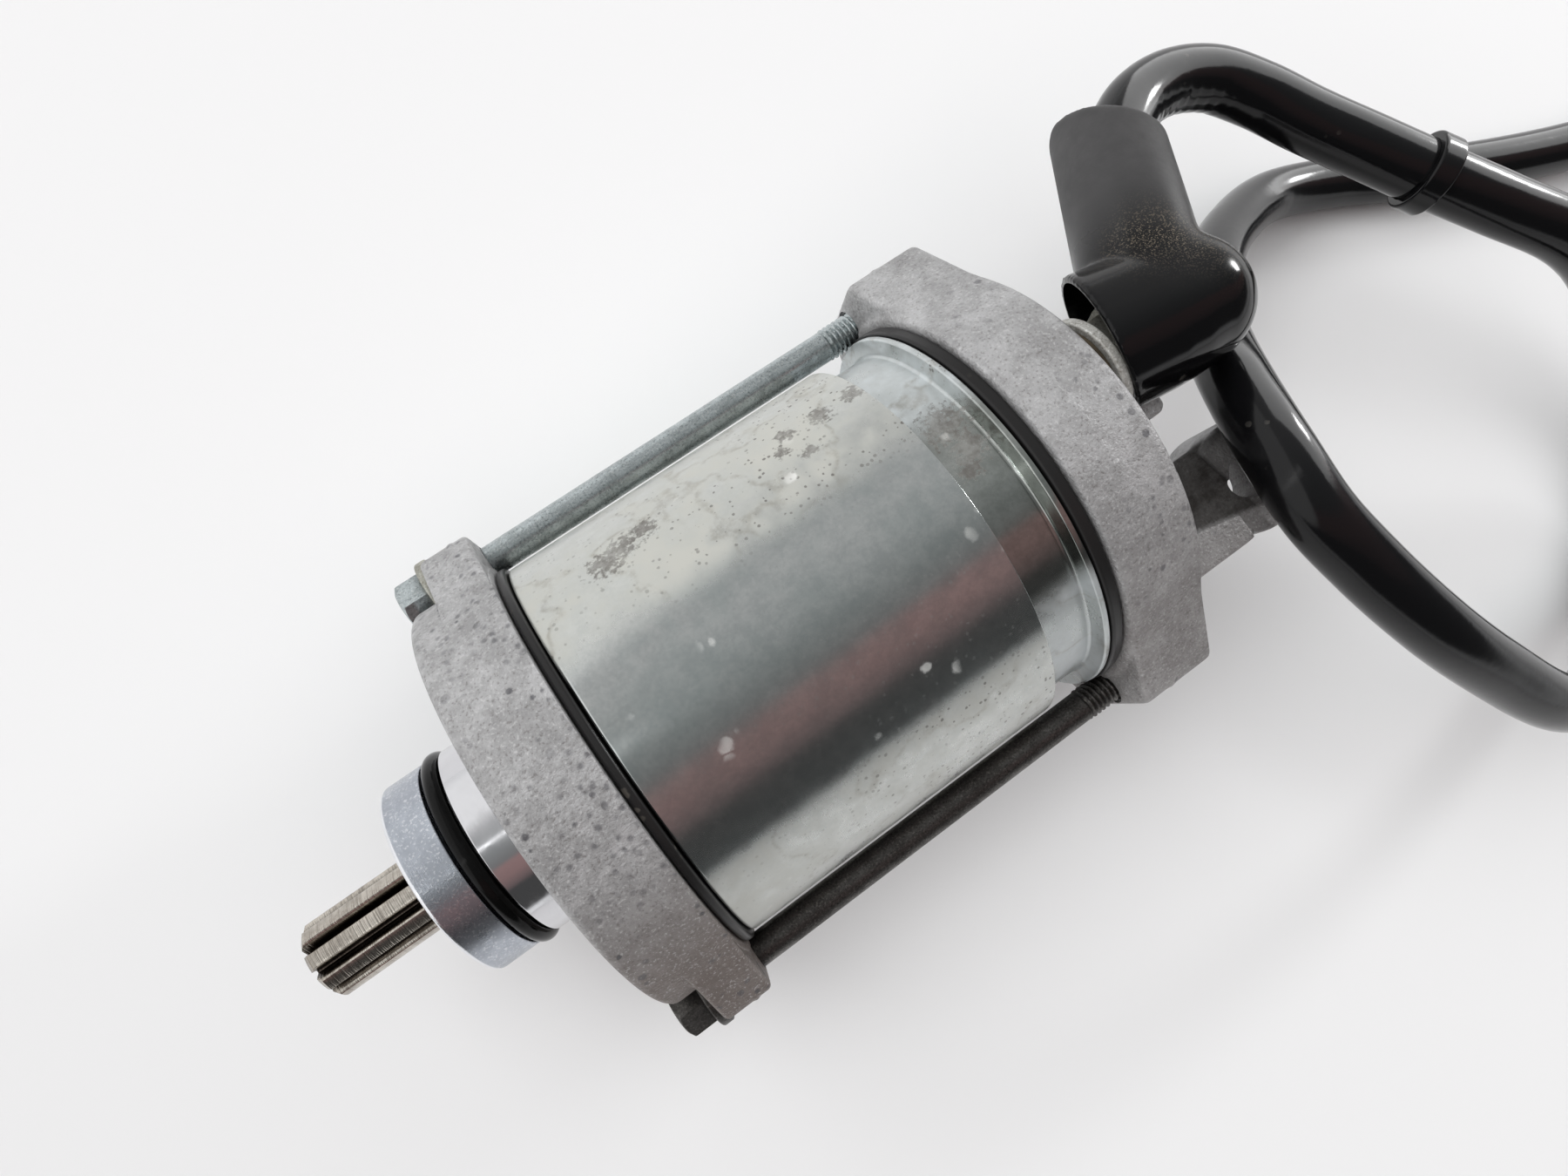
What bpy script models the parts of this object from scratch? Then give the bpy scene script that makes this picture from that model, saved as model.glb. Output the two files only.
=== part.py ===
"""Brushed 12 V starter motor for a motorcycle, with its booted cable.

Lengths are in metres and +Z is up. The motor lies on its side with its shaft along X and the pinion
at -X. The origin is on the surface that it lies on, midway between the pinion tip and the mounting lug.
Places along the shaft are measured from the front edge of the yoke, and places across it from the shaft.
"""

import math

import bmesh
import bpy
import numpy as np
from mathutils import Matrix, Vector
from mathutils.geometry import convex_hull_2d

MM = 0.001

# Clearances
FIT = 0.2 * MM
SPIGOT_FIT = 0.3 * MM
AIR_GAP = 0.8 * MM
BOLT_GAP = 0.3 * MM
CABLE_FIT = 0.3 * MM
OVERLAP = 1.0 * MM

# Yoke: a magnet tube with a flared rear lip, inside a shorter flux sleeve
TUBE_RADIUS = 27.0 * MM
TUBE_WALL = 3.0 * MM
TUBE_LENGTH = 57.8 * MM
LIP_HEIGHT = 2.7 * MM
LIP_WIDTH = 1.6 * MM
SLEEVE_WALL = 1.8 * MM
SLEEVE_LENGTH = 49.0 * MM
SLEEVE_CHAMFER = 0.4 * MM
GASKET_THICKNESS = 1.2 * MM
GASKET_RIM = 0.7 * MM

# Brackets
BRACKET_RIM = 1.6 * MM
SPIGOT_WALL = 2.3 * MM
SPIGOT_LENGTH = 2.4 * MM
FRONT_DEPTH = 11.3 * MM
FRONT_SHOULDER = 1.2 * MM
FRONT_FLOOR = 0.8 * MM
REAR_DEPTH = 12.4 * MM
REAR_CORNER = 2.5 * MM
REAR_WALL = 3.8 * MM
EAR_WALL = 1.0 * MM
EAR_CORNER = 3.0 * MM
EAR_HALF_HEIGHT = 10.0 * MM
EAR_CHAMFER = 0.8 * MM
EAR_STEP = 0.4 * MM
FRONT_EAR_SET = 0.2 * MM
FRONT_EAR_DEPTH = 7.0 * MM
REAR_EAR_SET = 0.6 * MM
SPOT_DEPTH = 0.2 * MM
SPOT_RIM = 0.6 * MM
EAR_RECESS = 1.0 * MM
EAR_RECESS_RADIUS = 2.9 * MM

# Nose, its O-ring and its oil seal
NOSE_RADIUS = 14.1 * MM
NOSE_LENGTH = 16.5 * MM
NOSE_CHAMFER = 0.6 * MM
GROOVE_SET = 5.8 * MM
GROOVE_WIDTH = 2.8 * MM
GROOVE_DEPTH = 2.0 * MM
SEAL_RADIUS = 10.0 * MM
SEAL_WIDTH = 5.0 * MM
SEAL_SET = 1.8 * MM
SEAL_WALL = 1.0 * MM

# Through bolts
BOLT_RADIUS = 2.25 * MM
THREAD_RADIUS = 2.45 * MM
THREAD_LENGTH = 12.0 * MM
BOLT_HEAD_FLATS = 7.0 * MM
BOLT_HEAD_HEIGHT = 3.2 * MM
WASHER_RADIUS = 4.7 * MM
WASHER_THICKNESS = 1.4 * MM

# Rotor
SHAFT_RADIUS = 6.0 * MM
JOURNAL_RADIUS = 4.0 * MM
COLLAR_HEIGHT = 1.4 * MM
PINION_TEETH = 9
PINION_TIP_RADIUS = 5.3 * MM
PINION_ROOT_RADIUS = 3.25 * MM
PINION_LENGTH = 18.1 * MM
PINION_CHAMFER = 0.6 * MM
CORE_SET = 6.5 * MM
CORE_SLOTS = 12
SLOT_DEGREES = 14.0
SLOT_DRAFT = 0.5
SLOT_DEPTH = 7.4 * MM
WEDGE_DEPTH = 1.8 * MM
WINDING_OVERHANG = 4.5 * MM
COMMUTATOR_RADIUS = 9.5 * MM
COMMUTATOR_LENGTH = 7.8 * MM
COMMUTATOR_BARS = 16
MICA_DEPTH = 0.6 * MM

# Magnets
MAGNET_COUNT = 4
MAGNET_THICKNESS = 5.4 * MM
MAGNET_SPAN = math.radians(70)

# Bearings
BEARING_RADIUS = 14.0 * MM
BEARING_WIDTH = 8.0 * MM
BEARING_RING = 1.8 * MM
BEARING_BALLS = 8
BUSH_WALL = 1.6 * MM
BUSH_LENGTH = 6.6 * MM
HUB_WALL = 2.6 * MM
THRUST_WASHER = 1.2 * MM

# Brush gear
PLATE_SET = 0.8 * MM
PLATE_THICKNESS = 1.5 * MM
PLATE_BORE_GAP = 1.5 * MM
PLATE_LEDGE = 5.4 * MM
BRUSH_COUNT = 4
BRUSH_AXIAL = 6.0 * MM
BRUSH_WIDTH = 7.0 * MM
BRUSH_FIT = 0.25 * MM
SPRING_ROOM = 3.2 * MM
BOX_WALL = 0.8 * MM
SPRING_WIRE = 0.3 * MM
SPRING_CURLS = 2.5
SCREW_RADIUS = 1.4 * MM
SCREW_HEAD_RADIUS = 2.3 * MM
SCREW_HEAD_HEIGHT = 1.4 * MM
SCREW_LENGTH = 4.0 * MM

# Terminal, on the rear bracket: across and above the shaft
TERMINAL_ACROSS = 5.9 * MM
TERMINAL_ABOVE = 20.3 * MM
TERMINAL_PAD = 1.2 * MM
STUD_RADIUS = 3.0 * MM
STUD_HEAD_RADIUS = 4.6 * MM
STUD_HEAD_HEIGHT = 3.3 * MM
STUD_POINT = 3.4 * MM
BUSHING_WALL = 1.5 * MM
BUSHING_FLANGE = 1.2 * MM
BUSHING_FLANGE_THICKNESS = 1.2 * MM
INSULATOR_RADIUS = 7.1 * MM
INSULATOR_THICKNESS = 1.8 * MM
TERMINAL_WASHER_THICKNESS = 1.2 * MM
NUT_FLATS = 10.0 * MM
NUT_HEIGHT = 3.8 * MM
POCKET_RADIUS = 6.2 * MM
POCKET_SEAT = 0.4 * MM
STOP_RIB_HALF_WIDTH = 1.5 * MM
STOP_RIB_HEIGHT = 6.0 * MM
STOP_RIB_LENGTH = 13.4 * MM
STOP_RIB_ACROSS = -2.4 * MM
STOP_RIB_ABOVE = 11.4 * MM

# Mounting lug on the rear bracket
LUG_REACH = 18.5 * MM
LUG_ACROSS = -17.8 * MM
LUG_TOP = 11.5 * MM
LUG_THICKNESS = 10.5 * MM
LUG_BOSS_RADIUS = 8.3 * MM
LUG_HOLE_RADIUS = 3.4 * MM
LUG_ARM_WIDTH = 14.0 * MM
LUG_RECESS = 1.4 * MM
LUG_PAD_SET = 0.4 * MM
LUG_RIB = 2.2 * MM
LUG_FLARE = 2.6 * MM
LUG_STEP = 0.6 * MM

# Cable lug, boot and cable
LUG_RING_RADIUS = 6.1 * MM
LUG_RING_THICKNESS = 1.8 * MM
CABLE_RADIUS = 4.6 * MM
CRIMP_RADIUS = 4.4 * MM
CRIMP_START = 9.0 * MM
CRIMP_LENGTH = 8.8 * MM
CRIMP_LEAD = 6.0 * MM
BOOT_RADIUS = 8.8 * MM
BOOT_WALL = 1.2 * MM
BOOT_MOUTH_SET = 1.2 * MM
BOOT_LENGTH = 23.0 * MM
BOOT_SLANT = math.radians(-6.3)
BOOT_MOUTH_SHIFT = 1.6 * MM
SLEEVE_ROOT_RADIUS = 8.2 * MM
SLEEVE_END_RADIUS = 7.3 * MM
BOOT_SLEEVE_LENGTH = 33.0 * MM
BOOT_SLEEVE_CORNER = 1.4 * MM
BOOT_SLEEVE_ROOM = 1.5 * MM
BOOT_SLEEVE_AIM = Vector((0.56, 0.78, -0.28)).normalized()
BAND_WIDTH = 3.6 * MM
BAND_WALL = 0.9 * MM
BAND_ALONG = 89.0 * MM
RING_PALM_RADIUS = 6.6 * MM
RING_HOLE_RADIUS = 3.4 * MM
RING_PALM_THICKNESS = 1.8 * MM
RING_REACH = 13.0 * MM
RING_CRIMP_LENGTH = 10.0 * MM
COVER_WALL = 0.8 * MM
COVER_LENGTH = 24.0 * MM

# Route of the cable after the boot, in millimetres along, across and above the shaft
CABLE_ROUTE = (
    (104.3, 31.1, 12.9), (110.8, 34.6, 11.2), (118.4, 35.2, 9.9), (125.5, 32.6, 8.9),
    (131.2, 27.0, 8.0), (136.1, 19.4, 7.6), (141.3, 10.7, 8.0), (146.7, 2.0, 8.2),
    (154.3, -7.9, 7.4), (163.2, -18.3, 5.5), (177.0, -38.5, -8.5), (177.4, -59.5, -19.5),
    (164.0, -76.6, -24.2), (141.5, -84.4, -15.0), (117.7, -75.2, 0.0), (105.7, -61.0, 8.4),
    (96.9, -47.5, 15.0), (91.5, -34.8, 18.9), (89.2, -26.0, 20.6), (89.9, -16.6, 20.4),
    (94.4, -7.5, 15.6), (103.7, 1.1, 6.0), (117.6, 9.0, -5.0), (134.3, 14.6, -15.5),
    (151.9, 16.1, -23.2), (166.4, 11.8, -25.6), (179.6, 5.3, -25.6), (194.4, -1.3, -25.6),
    (211.0, -7.6, -25.6), (222.2, -11.4, -25.0), (232.2, -14.4, -24.8), (242.2, -17.4, -24.8),
)
ROUTE_STEP = 2.0 * CABLE_RADIUS

# Facets round a full turn
ROUND = 32
MEDIUM = 20
SMALL = 16
HEX = 12
BOOT_SIDE_COUNT = 26

# Radii that follow from the sizes above
TUBE_BORE = TUBE_RADIUS - TUBE_WALL
LIP_RADIUS = TUBE_RADIUS + LIP_HEIGHT
SLEEVE_RADIUS = TUBE_RADIUS + FIT + SLEEVE_WALL
YOKE_RADIUS = max(SLEEVE_RADIUS, LIP_RADIUS)
GASKET_RADIUS = SLEEVE_RADIUS + GASKET_RIM
BRACKET_RADIUS = SLEEVE_RADIUS + BRACKET_RIM
BOLT_ACROSS = max(YOKE_RADIUS, GASKET_RADIUS) + BOLT_GAP + BOLT_RADIUS
EAR_REACH = BOLT_ACROSS + THREAD_RADIUS + EAR_WALL
SPIGOT_RADIUS = TUBE_BORE - SPIGOT_FIT
SPIGOT_BORE = SPIGOT_RADIUS - SPIGOT_WALL
MAGNET_OUTER = TUBE_BORE - FIT
MAGNET_INNER = MAGNET_OUTER - MAGNET_THICKNESS
CORE_RADIUS = MAGNET_INNER - AIR_GAP
SLOT_INNER = CORE_RADIUS - SLOT_DEPTH
WINDING_RADIUS = CORE_RADIUS - WEDGE_DEPTH
BUSH_BORE = JOURNAL_RADIUS + FIT
BUSH_RADIUS = BUSH_BORE + BUSH_WALL
HUB_RADIUS = BUSH_RADIUS + FIT + HUB_WALL
PLATE_RADIUS = SPIGOT_BORE - FIT
LEDGE_BORE = SPIGOT_BORE - PLATE_LEDGE

# Places along the shaft that follow from the sizes above
GASKET_SPACE = GASKET_THICKNESS + 2 * FIT
FRONT_JOINT = -GASKET_SPACE
FRONT_FACE = FRONT_JOINT - FRONT_DEPTH
NOSE_END = FRONT_FACE - NOSE_LENGTH
PINION_TIP = NOSE_END - PINION_LENGTH
FRONT_EAR_START = FRONT_JOINT - FRONT_EAR_SET - FRONT_EAR_DEPTH
BOLT_SEAT = FRONT_EAR_START + SPOT_DEPTH
FRONT_CAVITY = FRONT_JOINT - FRONT_FLOOR
BEARING_FRONT = FRONT_CAVITY - FIT - BEARING_WIDTH
REAR_JOINT = TUBE_LENGTH + GASKET_SPACE
REAR_FACE = REAR_JOINT + REAR_DEPTH
REAR_CAVITY = REAR_FACE - REAR_WALL
POCKET_FLOOR = REAR_CAVITY + POCKET_SEAT
PLATE_FRONT = REAR_JOINT + PLATE_SET
PLATE_REAR = PLATE_FRONT + PLATE_THICKNESS
LEDGE = PLATE_REAR + FIT
BOX_FRONT = PLATE_FRONT - BRUSH_AXIAL - 2 * BRUSH_FIT - 2 * BOX_WALL
COMMUTATOR_END = PLATE_FRONT - FIT
COMMUTATOR_START = COMMUTATOR_END - COMMUTATOR_LENGTH
CORE_END = COMMUTATOR_START - WINDING_OVERHANG - 3 * FIT
LUG_HOLE = REAR_FACE + LUG_REACH
LUG_END = LUG_HOLE + LUG_BOSS_RADIUS
PAD_FACE = REAR_FACE + TERMINAL_PAD
INSULATOR_FACE = PAD_FACE + FIT + INSULATOR_THICKNESS
WASHER_FACE = INSULATOR_FACE + FIT + TERMINAL_WASHER_THICKNESS
NUT_FACE = WASHER_FACE + FIT + NUT_HEIGHT
LUG_RING_FACE = NUT_FACE + FIT + LUG_RING_THICKNESS
LUG_NUT_FACE = LUG_RING_FACE + FIT + NUT_HEIGHT
STUD_END = LUG_NUT_FACE + STUD_POINT
BOOT_MOUTH = WASHER_FACE + BOOT_MOUTH_SET

# Where the shaft lies in the world
SHAFT_HEIGHT = BRACKET_RADIUS
SHAFT_SHIFT = -(PINION_TIP + LUG_END) / 2

# Colour, roughness and metallic value of each finish
FINISHES = {
    "cast_aluminium": ((0.42, 0.42, 0.43), 0.55, 0.9),
    "zinc_steel": ((0.62, 0.62, 0.58), 0.28, 1.0),
    "bolt_steel": ((0.38, 0.42, 0.40), 0.35, 1.0),
    "pinion_steel": ((0.33, 0.30, 0.27), 0.35, 1.0),
    "bearing_steel": ((0.65, 0.65, 0.66), 0.2, 1.0),
    "core_steel": ((0.22, 0.22, 0.23), 0.5, 0.9),
    "copper": ((0.72, 0.34, 0.18), 0.35, 1.0),
    "brass": ((0.70, 0.54, 0.25), 0.35, 1.0),
    "ferrite": ((0.07, 0.07, 0.08), 0.6, 0.0),
    "carbon": ((0.05, 0.05, 0.05), 0.7, 0.1),
    "rubber": ((0.02, 0.02, 0.02), 0.45, 0.0),
    "fibre": ((0.24, 0.18, 0.11), 0.7, 0.0),
    "vinyl": ((0.012, 0.012, 0.013), 0.3, 0.0),
    "spring_steel": ((0.55, 0.55, 0.56), 0.3, 1.0),
}


def material(finish):
    """The finish's Principled material, made on first use."""
    found = bpy.data.materials.get(finish)
    if found:
        return found
    colour, roughness, metallic = FINISHES[finish]
    made = bpy.data.materials.new(finish)
    made.use_nodes = True
    shader = made.node_tree.nodes["Principled BSDF"]
    shader.inputs["Base Color"].default_value = (*colour, 1.0)
    shader.inputs["Roughness"].default_value = roughness
    shader.inputs["Metallic"].default_value = metallic
    return made


def frame(name, parent=None, location=(0.0, 0.0, 0.0)):
    """An empty that pieces are parented to."""
    empty = bpy.data.objects.new(name, None)
    empty.empty_display_size = 0.01
    empty.location = location
    empty.parent = parent
    bpy.context.scene.collection.objects.link(empty)
    return empty


def mesh_from(bm):
    """A mesh with its points welded, its faces turned out and its round faces smooth."""
    bmesh.ops.remove_doubles(bm, verts=bm.verts, dist=1e-7)
    bmesh.ops.recalc_face_normals(bm, faces=bm.faces)
    mesh = bpy.data.meshes.new("shape")
    bm.to_mesh(mesh)
    bm.free()
    mesh.shade_smooth()
    mesh.set_sharp_from_angle(angle=math.radians(32))
    return mesh


def piece(name, data, finish, parent, location=(0.0, 0.0, 0.0), turn=(0.0, 0.0, 0.0)):
    """One named sub-part with its own material slot."""
    obj = bpy.data.objects.new(name, data)
    obj.parent = parent
    obj.location = location
    obj.rotation_euler = turn
    obj.data.materials.clear()
    obj.data.materials.append(material(finish))
    bpy.context.scene.collection.objects.link(obj)
    return obj


def combine(target, operation, name, mesh, location=(0.0, 0.0, 0.0), turn=(0.0, 0.0, 0.0)):
    """Joins a hidden helper to the target, or cuts it from the target, with a Boolean."""
    helper = bpy.data.objects.new(f"{target.name}_{name}", mesh)
    helper.parent = target.parent
    helper.location = location
    helper.rotation_euler = turn
    helper.hide_render = True
    helper.display_type = "WIRE"
    bpy.context.scene.collection.objects.link(helper)
    boolean = target.modifiers.new(name, "BOOLEAN")
    boolean.operation = operation
    boolean.solver = "EXACT"
    boolean.object = helper


def turned(profile, steps=ROUND):
    """A profile of (along, radius) points spun round the shaft line, open where it ends on that line."""
    bm = bmesh.new()
    points = [bm.verts.new((along, 0.0, radius)) for along, radius in profile]
    edges = [bm.edges.new(pair) for pair in zip(points, points[1:])]
    if profile[0][1] > 0.0:
        edges.append(bm.edges.new((points[-1], points[0])))
    bmesh.ops.spin(
        bm,
        geom=points + edges,
        cent=(0, 0, 0),
        axis=(1, 0, 0),
        angle=math.tau,
        steps=steps,
        use_merge=True,
    )
    return mesh_from(bm)


def ring(start, end, inner, outer, steps=ROUND, chamfer=0.0):
    """A turned ring with chamfered outer edges."""
    profile = [(start, inner), (start, outer - chamfer), (start + chamfer, outer)]
    profile += [(end - chamfer, outer), (end, outer - chamfer), (end, inner)]
    return turned(list(dict.fromkeys(profile)), steps)


def rod(start, end, radius, steps=SMALL, chamfer=0.0):
    """A solid turned rod with chamfered ends."""
    profile = [(start, 0.0), (start, radius - chamfer), (start + chamfer, radius)]
    profile += [(end - chamfer, radius), (end, radius - chamfer), (end, 0.0)]
    return turned(list(dict.fromkeys(profile)), steps)


def arc(centre, radius, first, last, steps):
    """Points of an arc in a plane, from the first angle to the last, in degrees."""
    angles = np.radians(np.linspace(first, last, steps + 1))
    return [(centre[0] + radius * math.cos(a), centre[1] + radius * math.sin(a)) for a in angles]


def lofted(loops, closed):
    """Loops with equal counts of points, bridged in turn: a closed tube of loops, or a capped solid."""
    bm = bmesh.new()
    rows = [[bm.verts.new(point) for point in loop] for loop in loops]
    pairs = list(zip(rows, rows[1:]))
    if closed:
        pairs.append((rows[-1], rows[0]))
    else:
        bm.faces.new(rows[0])
        bm.faces.new(rows[-1])
    count = len(rows[0])
    for first, second in pairs:
        for i in range(count):
            j = (i + 1) % count
            bm.faces.new((first[i], first[j], second[j], second[i]))
    return mesh_from(bm)


def at(along, outline, inset=0.0):
    """The outline of (across, above) points placed at a distance along, drawn in towards the shaft."""
    loop = []
    for across, above in outline:
        radius = math.hypot(across, above)
        scale = (radius - inset) / radius
        loop.append((along, across * scale, above * scale))
    return loop


def prism(start, end, outline):
    """An outline extruded along the shaft."""
    return lofted([at(start, outline), at(end, outline)], closed=False)


def repeated(section, count):
    """A section of (radius, degrees) points repeated round the shaft."""
    points = []
    for i in range(count):
        for radius, angle in section:
            turn = math.tau * i / count + math.radians(angle)
            points.append((radius * math.cos(turn), radius * math.sin(turn)))
    return points


def pierced(start, end, outline, bore, chamfer=0.0):
    """An outline round the shaft, extruded along it with a round bore."""
    angles = [math.atan2(above, across) for across, above in outline]
    hole = [(bore * math.cos(a), bore * math.sin(a)) for a in angles]
    loops = [at(start, outline, chamfer)]
    if chamfer:
        loops += [at(start + chamfer, outline), at(end - chamfer, outline)]
    loops += [at(end, outline, chamfer), at(end, hole), at(start, hole)]
    return lofted(loops, closed=True)


def circle(radius, steps=SMALL):
    """Points of a circle round the shaft."""
    return arc((0.0, 0.0), radius, 0.0, 360.0 * (steps - 1) / steps, steps - 1)


def hexagon(flats, steps=HEX):
    """Points of a hexagon across its flats, with two flats facing sideways."""
    points = []
    for i in range(steps):
        angle = math.tau * i / steps
        from_flat = (angle + math.pi / 6) % (math.pi / 3) - math.pi / 6
        radius = flats / 2 / math.cos(from_flat)
        points.append((radius * math.cos(angle), radius * math.sin(angle)))
    return points


def hull(points):
    """The convex solid round a set of points."""
    bm = bmesh.new()
    made = [bm.verts.new(point) for point in points]
    found = bmesh.ops.convex_hull(bm, input=made)
    bmesh.ops.delete(bm, geom=list({*found["geom_interior"], *found["geom_unused"]}), context="VERTS")
    return mesh_from(bm)


def box(low, high):
    """A block between two opposite corners."""
    sides = list(zip(low, high))
    return hull([(x, y, z) for x in sides[0] for y in sides[1] for z in sides[2]])


def stepped(start, step, end, wide, narrow):
    """A cutter for a counterbored hole: wide up to the step and narrow past it."""
    profile = [(start, 0.0), (start, wide), (step, wide), (step, narrow), (end, narrow), (end, 0.0)]
    return turned(profile, SMALL)


def aimed(direction):
    """The turn that lays the shaft line along a direction, as Euler angles."""
    return direction.to_track_quat("X", "Z").to_euler()


def ear_outline(barrel_radius):
    """A barrel with an ear for a bolt on either side: one tight outline round both."""
    corner_across = EAR_REACH - EAR_CORNER
    corner_above = EAR_HALF_HEIGHT - EAR_CORNER
    points = circle(barrel_radius, ROUND)
    for side in (-1, 1):
        for above in (-1, 1):
            points += arc((side * corner_across, above * corner_above), EAR_CORNER, 0.0, 330.0, 11)
    order = convex_hull_2d([Vector(point) for point in points])
    return [points[i] for i in order]


def add_ears(bracket, start, end, drill):
    """Joins bolt ears to a bracket and cuts the drill's shape through each."""
    outline = ear_outline(BRACKET_RADIUS - OVERLAP)
    ears = pierced(start, end, outline, SPIGOT_RADIUS + OVERLAP, EAR_CHAMFER)
    combine(bracket, "UNION", "ears", ears)
    for side in (-1, 1):
        combine(bracket, "DIFFERENCE", f"bolt_hole_{side}", drill, (0.0, side * BOLT_ACROSS, 0.0))


def make_front_bracket(parent):
    """Cast bracket with the turned nose, the bearing pocket and the oil seal's seat."""
    groove_rear = NOSE_END + GROOVE_SET + GROOVE_WIDTH
    groove_floor = NOSE_RADIUS - GROOVE_DEPTH
    shoulder = arc(
        (FRONT_FACE + FRONT_SHOULDER, BRACKET_RADIUS - FRONT_SHOULDER), FRONT_SHOULDER, 90.0, 180.0, 4
    )
    pocket = BEARING_RADIUS + FIT
    bore = SHAFT_RADIUS + COLLAR_HEIGHT
    seal_seat = NOSE_END + SEAL_SET + SEAL_WIDTH + FIT
    profile = [
        (FRONT_JOINT + SPIGOT_LENGTH, SPIGOT_BORE),
        (FRONT_JOINT + SPIGOT_LENGTH, SPIGOT_RADIUS),
        (FRONT_JOINT, SPIGOT_RADIUS),
        (FRONT_JOINT, BRACKET_RADIUS),
        *shoulder,
        (FRONT_FACE, NOSE_RADIUS),
        (groove_rear, NOSE_RADIUS),
        (groove_rear, groove_floor),
        (NOSE_END + GROOVE_SET, groove_floor),
        (NOSE_END + GROOVE_SET, NOSE_RADIUS),
        (NOSE_END + NOSE_CHAMFER, NOSE_RADIUS),
        (NOSE_END, NOSE_RADIUS - NOSE_CHAMFER),
        (NOSE_END, SEAL_RADIUS + FIT),
        (seal_seat, SEAL_RADIUS + FIT),
        (seal_seat, bore),
        (BEARING_FRONT - FIT, bore),
        (BEARING_FRONT - FIT, pocket),
        (FRONT_CAVITY, pocket),
        (FRONT_CAVITY, SPIGOT_BORE),
    ]
    bracket = piece("front_bracket", turned(profile), "cast_aluminium", parent)
    ear_end = FRONT_EAR_START + FRONT_EAR_DEPTH
    spot_face = stepped(
        FRONT_FACE - OVERLAP, BOLT_SEAT, ear_end + OVERLAP, WASHER_RADIUS + SPOT_RIM, THREAD_RADIUS + FIT
    )
    add_ears(bracket, FRONT_EAR_START, ear_end, spot_face)


def make_nose_seals(parent):
    """O-ring in the nose's groove, and the shaft's oil seal."""
    section = GROOVE_WIDTH / 2 - FIT
    centre = (NOSE_END + GROOVE_SET + GROOVE_WIDTH / 2, NOSE_RADIUS - GROOVE_DEPTH + FIT + section)
    piece("nose_o_ring", turned(arc(centre, section, 0.0, 315.0, 7), MEDIUM), "rubber", parent)
    start = NOSE_END + SEAL_SET
    end = start + SEAL_WIDTH
    lip = SHAFT_RADIUS + FIT
    profile = [
        (start, lip),
        (start, SEAL_RADIUS),
        (end, SEAL_RADIUS),
        (end, SEAL_RADIUS - SEAL_WALL),
        (start + SEAL_WALL, SEAL_RADIUS - SEAL_WALL),
        (start + SEAL_WALL, lip + SEAL_WALL),
        (end - SEAL_WALL, lip + SEAL_WALL),
        (end - SEAL_WALL, lip),
    ]
    piece("oil_seal", turned(profile, SMALL), "rubber", parent)


def make_yoke(parent):
    """Magnet tube, flux sleeve, magnets and the gaskets at both ends."""
    lip_start = TUBE_LENGTH - LIP_WIDTH
    profile = [
        (0.0, TUBE_BORE),
        (0.0, TUBE_RADIUS),
        (lip_start - LIP_WIDTH / 2, TUBE_RADIUS),
        (lip_start, LIP_RADIUS),
        (TUBE_LENGTH, LIP_RADIUS),
        (TUBE_LENGTH, TUBE_BORE),
    ]
    piece("yoke_tube", turned(profile), "zinc_steel", parent)
    sleeve = ring(0.0, SLEEVE_LENGTH, TUBE_RADIUS + FIT, SLEEVE_RADIUS, ROUND, SLEEVE_CHAMFER)
    piece("flux_sleeve", sleeve, "zinc_steel", parent)
    front = ring(-FIT - GASKET_THICKNESS, -FIT, SPIGOT_RADIUS + FIT, GASKET_RADIUS)
    piece("front_gasket", front, "rubber", parent)
    rear_start = TUBE_LENGTH + FIT
    rear = ring(rear_start, rear_start + GASKET_THICKNESS, SPIGOT_RADIUS + FIT, GASKET_RADIUS)
    piece("rear_gasket", rear, "rubber", parent)
    half = math.degrees(MAGNET_SPAN) / 2
    outline = arc((0.0, 0.0), MAGNET_OUTER, -half, half, 8)
    outline += arc((0.0, 0.0), MAGNET_INNER, half, -half, 8)
    for i in range(MAGNET_COUNT):
        turn = math.tau * (i + 0.5) / MAGNET_COUNT
        magnet = prism(CORE_SET, CORE_END, outline)
        piece(f"magnet_{i + 1}", magnet, "ferrite", parent, turn=(turn, 0.0, 0.0))


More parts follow.
